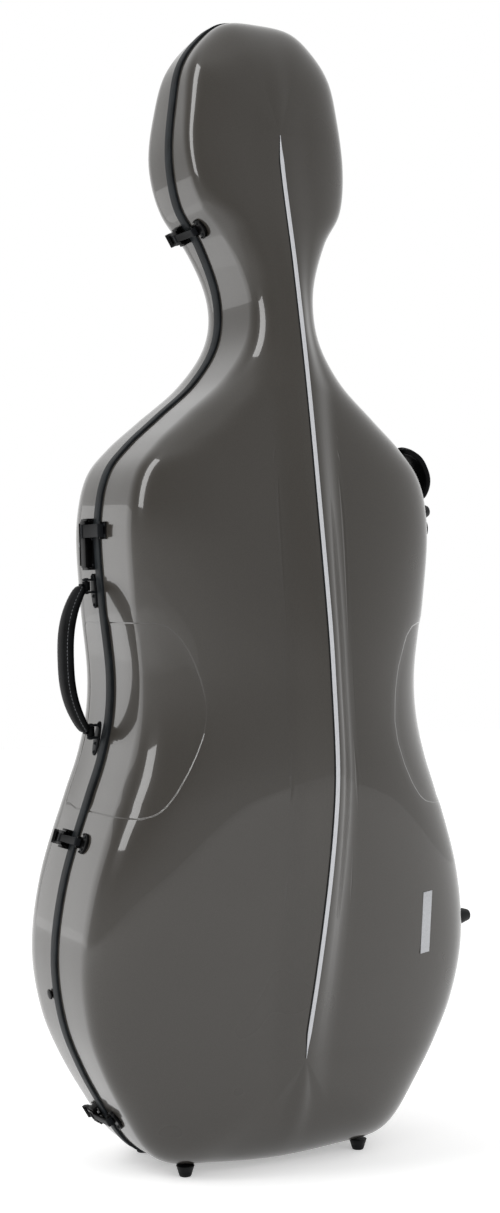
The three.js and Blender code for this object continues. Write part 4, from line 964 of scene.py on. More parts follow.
def stitches_along(name, paths, settings):
    """Rows of stitches on paths given in metres."""
    curve = bpy.data.curves.new(name + "_paths", "CURVE")
    curve.dimensions = "3D"
    for path in paths:
        spline = curve.splines.new("POLY")
        spline.points.add(len(path) - 1)
        for point, spot in zip(spline.points, path):
            point.co = (*spot, 1.0)
    return grown(name, add_object(name + "_paths", curve), "stitches", {
        "Spacing": settings.stitch_spacing, "Stitch Length": settings.stitch_length,
        "Stitch Width": settings.stitch_width, "Material": finish("thread")})


def screw_head():
    """A small dished screw head with a round socket, one metre in radius at the origin."""
    head = turned("screw_head_pattern", SCREW_PROFILE, Matrix.Identity(4), finish("black_steel"), 20)
    head.data.transform(Matrix.Translation(-Vector(ORIGIN * MM)))
    head.data.transform(Matrix.Scale(1 / MM, 4))
    return head


def screws(name, wall, height, spots, radius_mm):
    """Screws on a plate of the wall, at places (depth, along the wall) in mm."""
    mesh = bpy.data.meshes.new(name + "_points")
    mesh.from_pydata([tuple(p) for p in place([(height, *spot) for spot in spots], wall)], [], [])
    facing = mesh.attributes.new("facing", "FLOAT_VECTOR", "POINT")
    facing.data.foreach_set("vector", list(wall.to_3x3() @ Vector((1, 0, 0))) * len(spots))
    head = screw_head()
    made = grown(name, add_object(name + "_points", mesh), "fasteners", {
        "Fastener": head, "Size": radius_mm * MM, "Material": finish("black_steel")})
    remove(head)
    return made


def settle(piece, body, slot, *nodes):
    """Ties a finished piece to its body and hides the nodes that it stands for. The slot is not used."""
    if nodes:
        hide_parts(*nodes)
    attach(piece, body)
    return piece


# Settings that a user can change
class CaseBodySettings(bpy.types.PropertyGroup):
    """Colour and finer forms of the moulded shells."""

    shell_colour: FloatVectorProperty(
        name="Shell Colour", description="Colour of the laminate under its clear coat",
        default=linear("#373430"), subtype="COLOR", size=4, min=0.0, max=1.0)
    outline_cuts: IntProperty(
        name="Outline Cuts", description="Cuts between two facets of the packed outline",
        default=5, min=1, subtype="UNSIGNED")
    lid_rows: IntProperty(
        name="Lid Rows", description="Rows of faces over the lid's crown",
        default=44, min=8, subtype="UNSIGNED")
    base_rows: IntProperty(
        name="Base Rows", description="Rows of faces over the base's corner and back",
        default=14, min=4, subtype="UNSIGNED")
    panel_depth: FloatProperty(
        name="Waist Panel Depth", description="How deep the waist panels are pressed in",
        default=0.0010, unit="LENGTH")
    panel_step: FloatProperty(
        name="Waist Panel Step", description="Width of the step round the waist panels",
        default=0.008, unit="LENGTH")
    panel_back: FloatProperty(
        name="Waist Panel Back", description="How far the panels reach behind the seam",
        default=0.066, unit="LENGTH")


class HandleSettings(bpy.types.PropertyGroup):
    """Sizes of the carrying handles' leather work."""

    core_half: FloatProperty(
        name="Core Half Thickness", description="Half the padded roll's thickness",
        default=0.0073, unit="LENGTH")
    flange_half: FloatProperty(
        name="Flange Half Thickness", description="Half the sewn edge's thickness",
        default=0.0036, unit="LENGTH")
    core_share: FloatProperty(
        name="Core Share", description="Share of the width that the padded roll takes",
        default=0.66, subtype="FACTOR")
    stitch_share: FloatProperty(
        name="Stitch Place", description="Where the stitches run, as a share of the half width",
        default=0.8, subtype="FACTOR")
    stitch_spacing: FloatProperty(
        name="Stitch Spacing", description="Distance from one stitch to the next",
        default=0.0042, unit="LENGTH")
    stitch_length: FloatProperty(
        name="Stitch Length", description="Length of one stitch",
        default=0.0030, unit="LENGTH")
    stitch_width: FloatProperty(
        name="Stitch Width", description="Width of one stitch",
        default=0.0010, unit="LENGTH")


class FittingSettings(bpy.types.PropertyGroup):
    """Rounded edges and screws on latches, hinges and brackets."""

    nylon_edge: FloatProperty(
        name="Nylon Edge", description="Rounded edge on moulded latch pieces",
        default=0.00055, unit="LENGTH")
    steel_edge: FloatProperty(
        name="Steel Edge", description="Rounded edge on pressed steel",
        default=0.0004, unit="LENGTH")
    screw_radius: FloatProperty(
        name="Screw Radius", description="Radius of the screw heads on the handle brackets",
        default=0.0021, unit="LENGTH")


class StageSettings(bpy.types.PropertyGroup):
    """The camera and the room."""

    camera_place: FloatVectorProperty(
        name="Camera Place", description="Camera from the seam's lowest point",
        default=(-1.115, -2.039, 0.6476), unit="LENGTH")
    azimuth: FloatProperty(
        name="Azimuth", description="Camera's heading from +Y towards +X",
        default=math.radians(28.655), unit="ROTATION")
    pitch: FloatProperty(
        name="Pitch", description="How far the camera looks down",
        default=math.radians(0.185), unit="ROTATION")
    lens: FloatProperty(
        name="Lens", description="Focal length for a 36 mm sensor",
        default=58.1, unit="CAMERA")
    wall_start: FloatProperty(
        name="Wall Start", description="Where the dim wall starts, from -Y towards +X",
        default=math.radians(-172), unit="ROTATION")
    wall_pale: FloatProperty(
        name="Wall Pale End", description="Where the wall's left end starts to turn pale",
        default=math.radians(-113), unit="ROTATION")
    wall_end: FloatProperty(
        name="Wall End", description="Where the dim wall ends, from -Y towards +X",
        default=math.radians(118), unit="ROTATION")
    wall_height: FloatProperty(
        name="Wall Height", description="Height of the dim wall",
        default=10.0, unit="LENGTH")
    wall_foot: FloatProperty(
        name="Wall Level at Foot", description="Brightness of the wall where it meets the floor",
        default=0.92, subtype="FACTOR")
    wall_sweep: FloatProperty(
        name="Wall Sweep",
        description="Height over which the wall turns from the floor's brightness to its own",
        default=2.4, unit="LENGTH")
    wall_rise: FloatProperty(
        name="Wall Rise", description="Height from which the wall turns as pale as the ceiling",
        default=4.0, unit="LENGTH")
    wall_dark: FloatProperty(
        name="Wall Level Left", description="Brightness of the wall's left end",
        default=0.14, subtype="FACTOR")
    wall_light: FloatProperty(
        name="Wall Level Right", description="Brightness of the wall's right end",
        default=1.0, subtype="FACTOR")
    strip_power: FloatProperty(
        name="Strip Light Power", description="Power of the tall strip light",
        default=60.0, unit="POWER")
    back_power: FloatProperty(
        name="Back Light Power", description="Power of the soft light behind on the left",
        default=6.0, unit="POWER")
    fill_power: FloatProperty(
        name="Fill Light Power", description="Power of the large front light",
        default=36.0, unit="POWER")
    floor_half: FloatProperty(
        name="Floor Half Width", description="Half the floor's width",
        default=6.0, unit="LENGTH")


# The shells and what lies on them
def half_width_at(z):
    """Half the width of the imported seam's outline at a height."""
    right = sorted((height, x) for x, height in CAD_RING if x >= 0)
    return np.interp(z, [height for height, _ in right], [x for _, x in right])


def vertex_values(mesh, name):
    """The mesh's points or their normals, as rows of three."""
    values = np.empty(len(mesh.vertices) * 3)
    mesh.vertices.foreach_get(name, values)
    return values.reshape(-1, 3)


def keel_crease_distance(x, z):
    """Distance in mm from the crease at the keel's foot, larger where the crease fades."""
    distance = np.abs(np.abs(x) - keel_reach(half_width_at(z)))
    for low, high, rate in CREASE_FADES:
        distance += np.maximum(np.maximum(low - z, z - high), 0) * rate
    return distance


def body_skin(name, grid, offset, thickness, material, settings=None):
    """A closed wall of even thickness under an outer surface. With the shell's settings it is
    pressed in at the waist, and marks for the material tell where the panel and the keel end."""
    count, rows = grid.shape[:2]
    for_lid = grid[0, -1, 1] < 0
    faces = net_faces(count, rows)
    if not for_lid:
        faces = [tuple(reversed(face)) for face in faces]
    piece = weld(new_piece(name, grid.reshape(-1, 3) * MM, faces, material), outwards=False)
    mesh = piece.data
    points, normals = vertex_values(mesh, "co") / MM, vertex_values(mesh, "normal")
    x, depth, z = points.T
    sunk = np.full(len(points), float(offset))
    if settings is not None:
        inside = panel_distance(x, z)
        if not for_lid:
            inside = np.minimum(inside, settings.panel_back / MM - depth)
        step = smoothstep(np.clip(inside / (settings.panel_step / MM) + 0.5, 0, 1))
        sunk = sunk + step * settings.panel_depth / MM
        crease = keel_crease_distance(x, z) if for_lid else np.full(len(points), MARK_REACH)
        for label, values in (("panel_edge", inside), ("keel_edge", crease)):
            mark = mesh.attributes.new(label, "FLOAT", "POINT")
            mark.data.foreach_set("value", np.clip(values, -MARK_REACH, MARK_REACH))
    mesh.vertices.foreach_set("co", place(points - normals * sunk[:, None]).ravel())
    mesh.update()
    wall = piece.modifiers.new("Wall", "SOLIDIFY")
    wall.thickness = thickness * MM
    wall.offset = -1
    return smooth(apply_modifiers(piece), 40)


class CELLOCASE_OT_shells(bpy.types.Operator):
    """Builds the two glossy moulded shells"""

    bl_idname = "cellocase.shells"
    bl_label = "Shells"

    def execute(self, context):
        settings = context.scene.cellocase_body
        laminate = finish("laminate")
        ring = seam_outline(CAD_STEPS * settings.outline_cuts)
        grid = lid_grid(ring, settings.lid_rows, LID_RIM_GAP)
        lid = body_skin("lid_shell_laminate", grid, 0, SHELL_WALL, laminate, settings)
        settle(lid, "lid", "gloss_shell", "lid_shell")
        grid = base_grid(ring, settings.base_rows, BASE_RIM_GAP)
        base = body_skin("base_shell_laminate", grid, 0, SHELL_WALL, laminate, settings)
        settle(base, "base", "gloss_shell", "base_shell")
        return {"FINISHED"}


class CELLOCASE_OT_linings(bpy.types.Operator):
    """Builds the plush linings inside both shells"""

    bl_idname = "cellocase.linings"
    bl_label = "Linings"

    def execute(self, context):
        settings = context.scene.cellocase_body
        plush = finish("lining")
        ring = seam_outline(CAD_STEPS * LINING_CUTS)
        under = SHELL_WALL + GAP + FOAM_UNDER_PLUSH
        thickness = LINING - FOAM_UNDER_PLUSH
        grid = lid_grid(ring, settings.lid_rows // 2, LINING)
        lid = body_skin("lid_lining_plush", grid, under, thickness, plush)
        settle(lid, "lid", "lining_cloth", "lid_lining")
        grid = base_grid(ring, settings.base_rows // 2, SEAL_INNER + GAP)
        base = body_skin("base_lining_plush", grid, under, thickness, plush)
        settle(base, "base", "lining_cloth", "base_lining")
        return {"FINISHED"}


class CELLOCASE_OT_seal(bpy.types.Operator):
    """Builds the rubber seal round the base's edge"""

    bl_idname = "cellocase.seal"
    bl_label = "Rubber Seal"

    def execute(self, context):
        settings = context.scene.cellocase_body
        ring = seam_outline(CAD_STEPS * settings.outline_cuts)
        normals = outline_normals(ring)
        inside = SHELL_WALL + GAP
        profile = [
            (SEAL_PROUD - SEAL_ROUND, 0), (SEAL_PROUD - SEAL_CHAMFER, SEAL_CHAMFER),
            (SEAL_PROUD, SEAL_ROUND), (SEAL_PROUD - SEAL_HOLLOW, SEAL_WIDTH / 2),
            (SEAL_PROUD, SEAL_WIDTH - SEAL_ROUND),
            (SEAL_PROUD - SEAL_CHAMFER, SEAL_WIDTH - SEAL_CHAMFER),
            (SEAL_PROUD - SEAL_ROUND, SEAL_WIDTH), (GAP, SEAL_WIDTH), (GAP, SEAL_WEB),
            (-inside, SEAL_WEB), (-inside, SEAL_INNER), (-inside - SEAL_LIP, SEAL_INNER),
            (-inside - SEAL_LIP, 0),
        ]
        rows = []
        for offset, depth in profile:
            x, z = (ring + normals * offset).T
            rows.append(np.stack([x, np.full(len(x), depth), z], axis=1))
        points = place(np.stack(rows, axis=1).reshape(-1, 3))
        faces = net_faces(len(ring), len(profile), looped=True)
        seal = weld(new_piece("rim_seal_rubber", points, faces, finish("seal_rubber")))
        settle(smooth(seal, 38), "base", "black_rubber", "rim_seal")
        return {"FINISHED"}


class CELLOCASE_OT_trim(bpy.types.Operator):
    """Builds the bright strip on the keel and the bare badge plate"""

    bl_idname = "cellocase.trim"
    bl_label = "Keel Strip and Badge"

    def execute(self, context):
        heights = np.linspace(CREST_LOW + STRIP_END_GAP, CREST_HIGH - STRIP_END_GAP, STRIP_POINTS)
        crest = LID_DEPTH * table_value(CREST, 1, heights)
        from_end = np.minimum(heights - CREST_LOW, CREST_HIGH - heights)
        taper = np.clip(from_end / STRIP_TAPER, STRIP_TIP_SHARE, 1)
        for name, (left, right, rise, material, slot, nodes) in STRIPS.items():
            sections = []
            for z, depth, share in zip(heights, crest, taper):
                section = []
                for u in np.linspace(1, -1, STRIP_ARC_POINTS):
                    x = u * share * (right if u > 0 else left)
                    section.append((x, -depth - GAP - rise * (1 - u * u) ** STRIP_ROUND_POWER, z))
                for foot in (-left, right):
                    section.append((foot * STRIP_FOOT_SHARE * share, -depth - STRIP_FOOT_GAP, z))
                sections.append(section)
            strip = smooth(lofted(name, sections, finish(material)), 50)
            settle(strip, "lid", slot, *nodes)
        badge = from_node("badge_plate_aluminium", "badge_plate", finish("badge"), BADGE_EDGE, 30)
        settle(badge, "lid", "bright_metal", "badge_plate")
        return {"FINISHED"}


# Feet, hinges and latches
def bottom_foot_profile(tall):
    """A round foot under the case that widens upwards, with a soft step half way."""
    return [
        (0, 0), (5.4, 0), (6.5, 0.45), (6.95, 1.3), (8.3, tall * 0.42), (8.15, tall * 0.47),
        (8.6, tall * 0.52), (10.1, tall * 0.9), (10.5, tall * 0.97), (10.3, tall), (0, tall),
    ]


def side_foot_profile(tall):
    """A round foot on the wall: a broad base, a cone and a rounded tip."""
    return [
        (0, 0), (10.8, 0), (11.1, 0.6), (10.8, 1.8), (7.0, tall - 2.2), (6.2, tall - 0.7),
        (5.0, tall), (0, tall),
    ]


class CELLOCASE_OT_feet(bpy.types.Operator):
    """Builds the rubber feet below and beside the case and the strap button"""

    bl_idname = "cellocase.feet"
    bl_label = "Feet and Strap Button"

    def execute(self, context):
        rubber = finish("foot_rubber")
        for body in ("lid", "base"):
            for side in ("left", "right"):
                node = f"bottom_foot_{body}_{side}"
                low, high = [np.array(corner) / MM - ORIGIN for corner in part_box(node)]
                middle = (low + high) / 2
                at_floor = Matrix.Translation((middle[0], middle[1], low[2]))
                profile = bottom_foot_profile(high[2] - low[2])
                settle(turned(node + "_rubber", profile, at_floor, rubber), body, "black_rubber", node)
        for place_name, (share, tall) in SIDE_FEET.items():
            wall = wall_frame(CASE_LENGTH * share, SIDE_FOOT_HALF, 1)
            for body, depth in SIDE_FOOT_DEPTHS.items():
                node = f"side_foot_{body}_{place_name}"
                foot = turned(node + "_rubber", side_foot_profile(tall), off_wall(wall, depth), rubber)
                settle(foot, body, "black_rubber", node)
        wall = wall_frame(FOOT_PLATE_HEIGHT, FOOT_PLATE_HALF_LENGTH, 1)
        turns = [2 * math.pi * k / FOOT_PLATE_SIDES for k in range(FOOT_PLATE_SIDES)]
        outline = [(FOOT_PLATE_DEPTH + FOOT_PLATE_HALF_WIDTH * math.cos(turn),
                    FOOT_PLATE_HALF_LENGTH * math.sin(turn)) for turn in turns]
        plate = extruded("side_foot_plate_nylon", outline, 0, FOOT_PLATE_THICKNESS,
                         flat_on_wall(wall), finish("nylon"), FOOT_PLATE_EDGE)
        settle(plate, "lid", "black_plastic")
        wall = wall_frame(CASE_LENGTH * BUTTON_SHARE, BUTTON_HALF, -1)
        button = turned(
            "strap_button_nylon", BUTTON_PROFILE, off_wall(wall, BUTTON_DEPTH), finish("nylon"))
        settle(button, "base", "black_plastic", "strap_button")
        return {"FINISHED"}


class CELLOCASE_OT_hinges(bpy.types.Operator):
    """Builds the two hinges with their pins"""

    bl_idname = "cellocase.hinges"
    bl_label = "Hinges"

    def execute(self, context):
        edge = context.scene.cellocase_fittings.steel_edge / MM
        for place_name in ("upper", "lower"):
            for part, body in (("base_leaf", "base"), ("lid_leaf", "lid")):
                node = f"{place_name}_hinge_{part}"
                leaf = from_node(node + "_steel", node, finish("black_steel"), edge)
                settle(leaf, body, "black_metal", node)
            node = f"{place_name}_hinge_pin"
            pin = from_node(node + "_steel", node, finish("bright_steel"), PIN_EDGE)
            settle(pin, "base", "bright_metal", node)
        return {"FINISHED"}


def lever_ridges(name, wall):
    """The grip ridges across a latch lever's free end."""
    low, high = local_bounds(f"{name}_lever", wall)
    ridges = []
    for k in range(RIDGE_COUNT):
        x, y = high[0] - RIDGE_SUNK - RIDGE_SLOPE * k, high[1] - RIDGE_FIRST - RIDGE_PITCH * k
        path = [wall @ Vector((x, y, z)) for z in (low[2] + RIDGE_INSET, high[2] - RIDGE_INSET)]
        ridges.append(tube(f"{name}_ridge_{k}", path, RIDGE_RADIUS, finish("nylon"), 8))
    return join_pieces(f"{name}_lever_ridges", ridges)


def keeper_rim(name, wall, height):
    """The raised rim round a small latch's keeper, open where the hook comes in."""
    path = []
    for k in range(KEEPER_RIM_STEPS + 1):
        turn = math.radians(KEEPER_RIM_START + KEEPER_RIM_SWEEP * k / KEEPER_RIM_STEPS)
        path.append(wall @ Vector((
            height + KEEPER_RIM_RISE, KEEPER_RIM_DEPTH + KEEPER_RIM_RADIUS * math.cos(turn),
            KEEPER_RIM_RADIUS * math.sin(turn))))
    return tube(f"{name}_keeper_rim", path, KEEPER_RIM_BEAD, finish("nylon"))


class CELLOCASE_OT_latches(bpy.types.Operator):
    """Builds the toggle latches and the lock"""

    bl_idname = "cellocase.latches"
    bl_label = "Latches and Lock"

    def execute(self, context):
        settings = context.scene.cellocase_fittings
        edges = {"nylon": settings.nylon_edge / MM, "black_steel": settings.steel_edge / MM}
        for name, (share, half) in LATCHES.items():
            wall = wall_frame(CASE_LENGTH * share, half, -1)
            for part, body, material, slot in (
                ("base", "base", "nylon", "black_plastic"),
                ("lever", f"{name}_lever", "nylon", "black_plastic"),
                ("hook", f"{name}_hook", "black_steel", "black_metal"),
                ("keeper", "lid", "nylon", "black_plastic"),
            ):
                node = f"{name}_{part}"
                piece = from_node(node + "_body", node, finish(material), edges[material])
                settle(piece, body, slot, node)
            settle(lever_ridges(name, wall), f"{name}_lever", "black_plastic")
            height = GAP + LATCH_PLATE
            kind = "lock" if name == "lock" else "latch"
            if kind == "latch":
                settle(keeper_rim(name, wall, height), "lid", "black_plastic")
            for part, body, spots in (("base", "base", BASE_SCREWS), ("keeper", "lid", KEEPER_SCREWS)):
                heads = screws(f"{name}_{part}_screws", wall, height, spots[kind], LATCH_SCREW)
                settle(heads, body, "black_metal")
        cylinder = from_node("lock_cylinder_steel", "lock_cylinder", finish("bright_steel"), PIN_EDGE)
        settle(cylinder, "lock_cylinder", "bright_metal", "lock_cylinder")
        return {"FINISHED"}


# Carrying handles
def bracket_frames(side, bottom, top, depth):
    """Wall frames of a handle's two brackets, the frame between their pins and the pins' distance."""
    walls = [wall_frame(height, BRACKET_DOWN, side) for height in (bottom, top)]
    pins = [wall @ Vector((PIN_OFF_WALL, depth, 0)) for wall in walls]
    along = (pins[1] - pins[0]).normalized()
    off = Vector((along.z * side, 0, -along.x * side))
    matrix = axes_matrix(off, along.cross(off), along, (pins[0] + pins[1]) / 2)
    return walls, matrix, (pins[1] - pins[0]).length


def bracket_piece(name, wall, matrix, middle, depth, side, edge):
    """A lens-shaped plate with two ears that hold a grip's pin."""
    steel = finish("black_steel")
    low, high = sorted((-BRACKET_DOWN * side, BRACKET_UP * side))
    centre, half = (low + high) / 2, (high - low) / 2
    rim = []
    for k in range(BRACKET_SIDES):
        turn = 2 * math.pi * k / BRACKET_SIDES
        bulge = math.copysign(abs(math.sin(turn)) ** BRACKET_LENS_POWER, math.sin(turn))
        rim.append((depth + BRACKET_HALF_WIDTH * bulge, centre + half * math.cos(turn)))
    pieces = [extruded(name + "_plate", rim, 0, BRACKET_PLATE, flat_on_wall(wall), steel, edge * 2)]
    turns = [math.pi * (k / EAR_STEPS - 0.5) for k in range(EAR_STEPS + 1)]
    outline = [(EAR_RADIUS * math.cos(turn), EAR_RADIUS * math.sin(turn)) for turn in turns]
    outline += [(EAR_FOOT, EAR_FOOT_HALF), (EAR_FOOT, -EAR_FOOT_HALF)]
    for near in (-EAR_INSIDE - EAR_THICKNESS, EAR_INSIDE):
        pieces.append(extruded(f"{name}_ear_{near}", outline, middle + near,
                               middle + near + EAR_THICKNESS, matrix, steel, EAR_EDGE))
    at_pin = matrix @ Matrix.Translation((0, 0, middle))
    pieces.append(turned(name + "_pin", HANDLE_PIN_PROFILE, at_pin, steel, 24))
    return join_pieces(name, pieces)


def grip_sections(chord, bow, half_width, settings):
    """Rings of points round a padded grip, and the paths of its two rows of stitches."""
    reach = chord / 2 - GRIP_END_GAP
    core, flange = settings.core_half / MM, settings.flange_half / MM
    sections, stitch_paths = [], {-1: [], 1: []}
    for i in range(GRIP_STEPS + 1):
        t = math.sin(math.pi / 2 * (i / GRIP_STEPS * 2 - 1))
        swell = 1 - t ** 4
        end = max(1 - abs(t) ** GRIP_END_POWER, 0.0) ** 0.5
        x, z = bow * (1 - abs(t) ** GRIP_BOW_POWER) + GRIP_OFF_PINS, reach * t
        width = half_width * (GRIP_NARROW_SHARE + (1 - GRIP_NARROW_SHARE) * swell)
        width *= TIP_NARROW_SHARE + (1 - TIP_NARROW_SHARE) * end
        thick = GRIP_THIN_SHARE + (1 - GRIP_THIN_SHARE) * swell
        thick *= TIP_THIN_SHARE + (1 - TIP_THIN_SHARE) * end
        slope = bow * GRIP_BOW_POWER * math.copysign(abs(t) ** (GRIP_BOW_POWER - 1), t)
        tilt = math.atan2(slope, reach)
        section = []
        for k in range(GRIP_SIDES):
            turn = 2 * math.pi * (k + 0.5) / GRIP_SIDES
            v = math.copysign(abs(math.sin(turn)) ** GRIP_ROUND_POWER, math.sin(turn))
            near = min(abs(v) / settings.core_share, 1)
            roll = (core - flange) * (1 - near ** GRIP_ROLL_POWER) ** GRIP_ROLL_ROUNDING
            lip = flange * min(1, (1 - abs(v)) * GRIP_LIP_STEEPNESS) ** 0.5
            out = roll + lip if math.cos(turn) > 0 else -(roll * GRIP_BACK_SHARE + lip)
            out *= thick
            section.append((x + out * math.cos(tilt), v * width, z + out * math.sin(tilt)))
        sections.append(section)
        if abs(t) < STITCH_END_SHARE:
            out = flange * thick + STITCH_RISE
            for way, path in stitch_paths.items():
                path.append((x + out * math.cos(tilt), way * settings.stitch_share * width,
                             z + out * math.sin(tilt)))
    return sections, stitch_paths.values()


def grip_piece(name, matrix, chord, bow, half_width, settings):
    """A padded leather grip: a raised roll between two sewn edges, folded round its end pins."""
    leather = finish("leather")
    sections, stitch_paths = grip_sections(chord, bow, half_width, settings)
    pieces = [lofted(name + "_body", sections, leather, matrix)]
    for way in (-1, 1):
        pin = way * chord / 2
        at_pin = matrix @ Matrix.Translation((0, 0, pin))
        pieces.append(turned(f"{name}_loop_{way}", GRIP_LOOP_PROFILE, at_pin, leather, 32))
        link = []
        for k in range(LINK_STEPS + 1):
            x = LINK_START + LINK_LENGTH * k / LINK_STEPS
            half = LINK_HALF + LINK_FLARE * k / LINK_STEPS
            low, high = pin - LINK_HALF_THICKNESS, pin + LINK_HALF_THICKNESS
            link.append([(x, -half, low), (x, half, low), (x, half, high), (x, -half, high)])
        pieces.append(soft_edges(lofted(f"{name}_link_{way}", link, leather, matrix), LINK_EDGE, 40))
    grip = smooth(join_pieces(name, pieces), 55)
    paths = [place(path, matrix) for path in stitch_paths]
    return grip, stitches_along(name + "_stitches", paths, settings)


class CELLOCASE_OT_handles(bpy.types.Operator):
    """Builds the two padded carrying handles and their brackets"""

    bl_idname = "cellocase.handles"
    bl_label = "Carrying Handles"

    def execute(self, context):
        settings = context.scene.cellocase_handles
        fittings = context.scene.cellocase_fittings
        edge, screw_radius = fittings.steel_edge / MM, fittings.screw_radius / MM
        for name, (side, bottom, top, depth, bow, half_width, body) in HANDLES.items():
            walls, matrix, chord = bracket_frames(side, bottom, top, depth)
            for label, wall, way in zip(("bottom", "top"), walls, (-1, 1)):
                node = f"{name}_bracket_{label}"
                bracket = bracket_piece(
                    node + "_steel", wall, matrix, way * chord / 2, depth, side, edge)
                settle(bracket, body, "black_metal", node)
                spots = [(depth, side * along) for along in BRACKET_SCREWS]
                heads = screws(node + "_screws", wall, GAP + BRACKET_PLATE, spots, screw_radius)
                settle(heads, body, "black_metal")
            grip, stitches = grip_piece(
                name + "_grip_leather", matrix, chord, bow, half_width, settings)
            settle(grip, name + "_grip", "grip_leather", name + "_grip")
            settle(stitches, name + "_grip", "grip_leather")
        return {"FINISHED"}


# Inside the case
def crowned_pad(name, node, growth_mm):
    """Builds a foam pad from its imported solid, rounded and crowned between its edges."""
    pad = node_copy(name, node, finish("padding"))
    voxels = pad.modifiers.new("Voxels", "REMESH")
    voxels.mode = "VOXEL"
    voxels.voxel_size = PAD_VOXEL * MM
    voxels.use_smooth_shade = True
    rounded = pad.modifiers.new("Round", "SMOOTH")
    rounded.factor = PAD_SMOOTHING
    rounded.iterations = PAD_SMOOTHING_STEPS
    mesh = apply_modifiers(pad).data
    grown_points = vertex_values(mesh, "co") + vertex_values(mesh, "normal") * growth_mm * MM
    mesh.vertices.foreach_set("co", grown_points.ravel())
    mesh.update()
    smooth(pad)
    settle(pad, "base", "foam_padding", node)


class CELLOCASE_OT_pads(bpy.types.Operator):
    """Builds the foam pads that the instrument lies between"""

    bl_idname = "cellocase.pads"
    bl_label = "Pads"

    def execute(self, context):
        for node in ("lower_pad_left", "lower_pad_right", "upper_pad_left", "upper_pad_right", "end_pad"):
            crowned_pad(node + "_foam", node, PAD_GROWTH)
        return {"FINISHED"}


class CELLOCASE_OT_neck_rest(bpy.types.Operator):
    """Builds the cradle and the strap for the instrument's neck"""

    bl_idname = "cellocase.neck_rest"
    bl_label = "Neck Rest"

    def execute(self, context):
        crowned_pad("neck_cradle_foam", "neck_cradle", CRADLE_GROWTH)
        strap = from_node("neck_strap_webbing", "neck_strap", finish("webbing"), STRAP_EDGE, 30)
        settle(strap, "base", "lining_cloth", "neck_strap")
        return {"FINISHED"}


class CELLOCASE_OT_bow_holders(bpy.types.Operator):
    """Builds the bow pockets and turning clips in the lid"""

    bl_idname = "cellocase.bow_holders"
    bl_label = "Bow Holders"

    def execute(self, context):
        for side in ("left", "right"):
            node = f"bow_pocket_{side}"
            pocket = from_node(node + "_cloth", node, finish("pocket"), POCKET_EDGE, 30)
            settle(pocket, "lid", "lining_cloth", node)
            node = f"bow_clip_post_{side}"
            post = from_node(node + "_nylon", node, finish("nylon"), POST_EDGE)
            settle(post, "lid", "black_plastic", node)
            node = f"bow_clip_{side}"
            clip = from_node(node + "_nylon", node, finish("nylon"), CLIP_EDGE)
            settle(clip, node, "black_plastic", node)
        return {"FINISHED"}


# The room
def looking(place_at, direction):
    """A camera's or lamp's matrix at a place, looking along a direction."""
    turn = direction.to_track_quat("-Z", "Y").to_matrix().to_4x4()
    return Matrix.Translation(place_at) @ turn


def directly_seen(tree):
    """One for what the camera sees straight, in a gloss or through glass, and else zero."""
    rays = add_node(tree, "ShaderNodeLightPath")
    seen = add_node(tree, "ShaderNodeMath", {
        0: rays["Is Camera Ray"], 1: rays["Is Glossy Ray"]}, operation="MAXIMUM")["Value"]
    return add_node(tree, "ShaderNodeMath", {
        0: seen, 1: rays["Is Transmission Ray"]}, operation="MAXIMUM")["Value"]


def floor_paper():
    """Matt white paper. Where it is seen it glows a little as well, so that it reads as the
    photo's pure white, while the light that it throws on the case is that of plain paper."""
    material, tree, where = open_material("matt_floor_paper")
    fibre = add_node(tree, "ShaderNodeTexNoise", {
        "Vector": where, "Scale": per_metre(25), "Detail": 3.0})["Fac"]
    colour = add_node(tree, "ShaderNodeValToRGB", {"Fac": fibre},
                      stops=((0.3, "#f4f4f4"), (0.7, "#fafafa")))["Color"]
    paper = add_node(tree, "ShaderNodeBsdfPrincipled", {
        "Base Color": colour, "Roughness": 0.9})["BSDF"]
    pale = add_node(tree, "ShaderNodeBsdfDiffuse", {"Color": linear("#fafafa")})["BSDF"]
    glow = add_node(tree, "ShaderNodeEmission", {
        "Color": linear("#ffffff"), "Strength": 0.36})["Emission"]
    glowing = add_node(tree, "ShaderNodeAddShader", {0: pale, 1: glow})["Shader"]
    chosen = add_node(tree, "ShaderNodeMixShader", {
        "Fac": directly_seen(tree), 1: paper, 2: glowing})["Shader"]
    add_node(tree, "ShaderNodeOutputMaterial", {"Surface": chosen})
    return material


def wall_paint():
    """Studio wall, painted in greys: it glows at the level that each of its points is given."""
    material, tree, _ = open_material("grey_studio_wall")
    level = add_node(tree, "ShaderNodeAttribute", attribute_name="level")["Fac"]
    glow = add_node(tree, "ShaderNodeEmission", {
        "Color": linear("#ffffff"), "Strength": level})["Emission"]
    add_node(tree, "ShaderNodeOutputMaterial", {"Surface": glow})
    return material


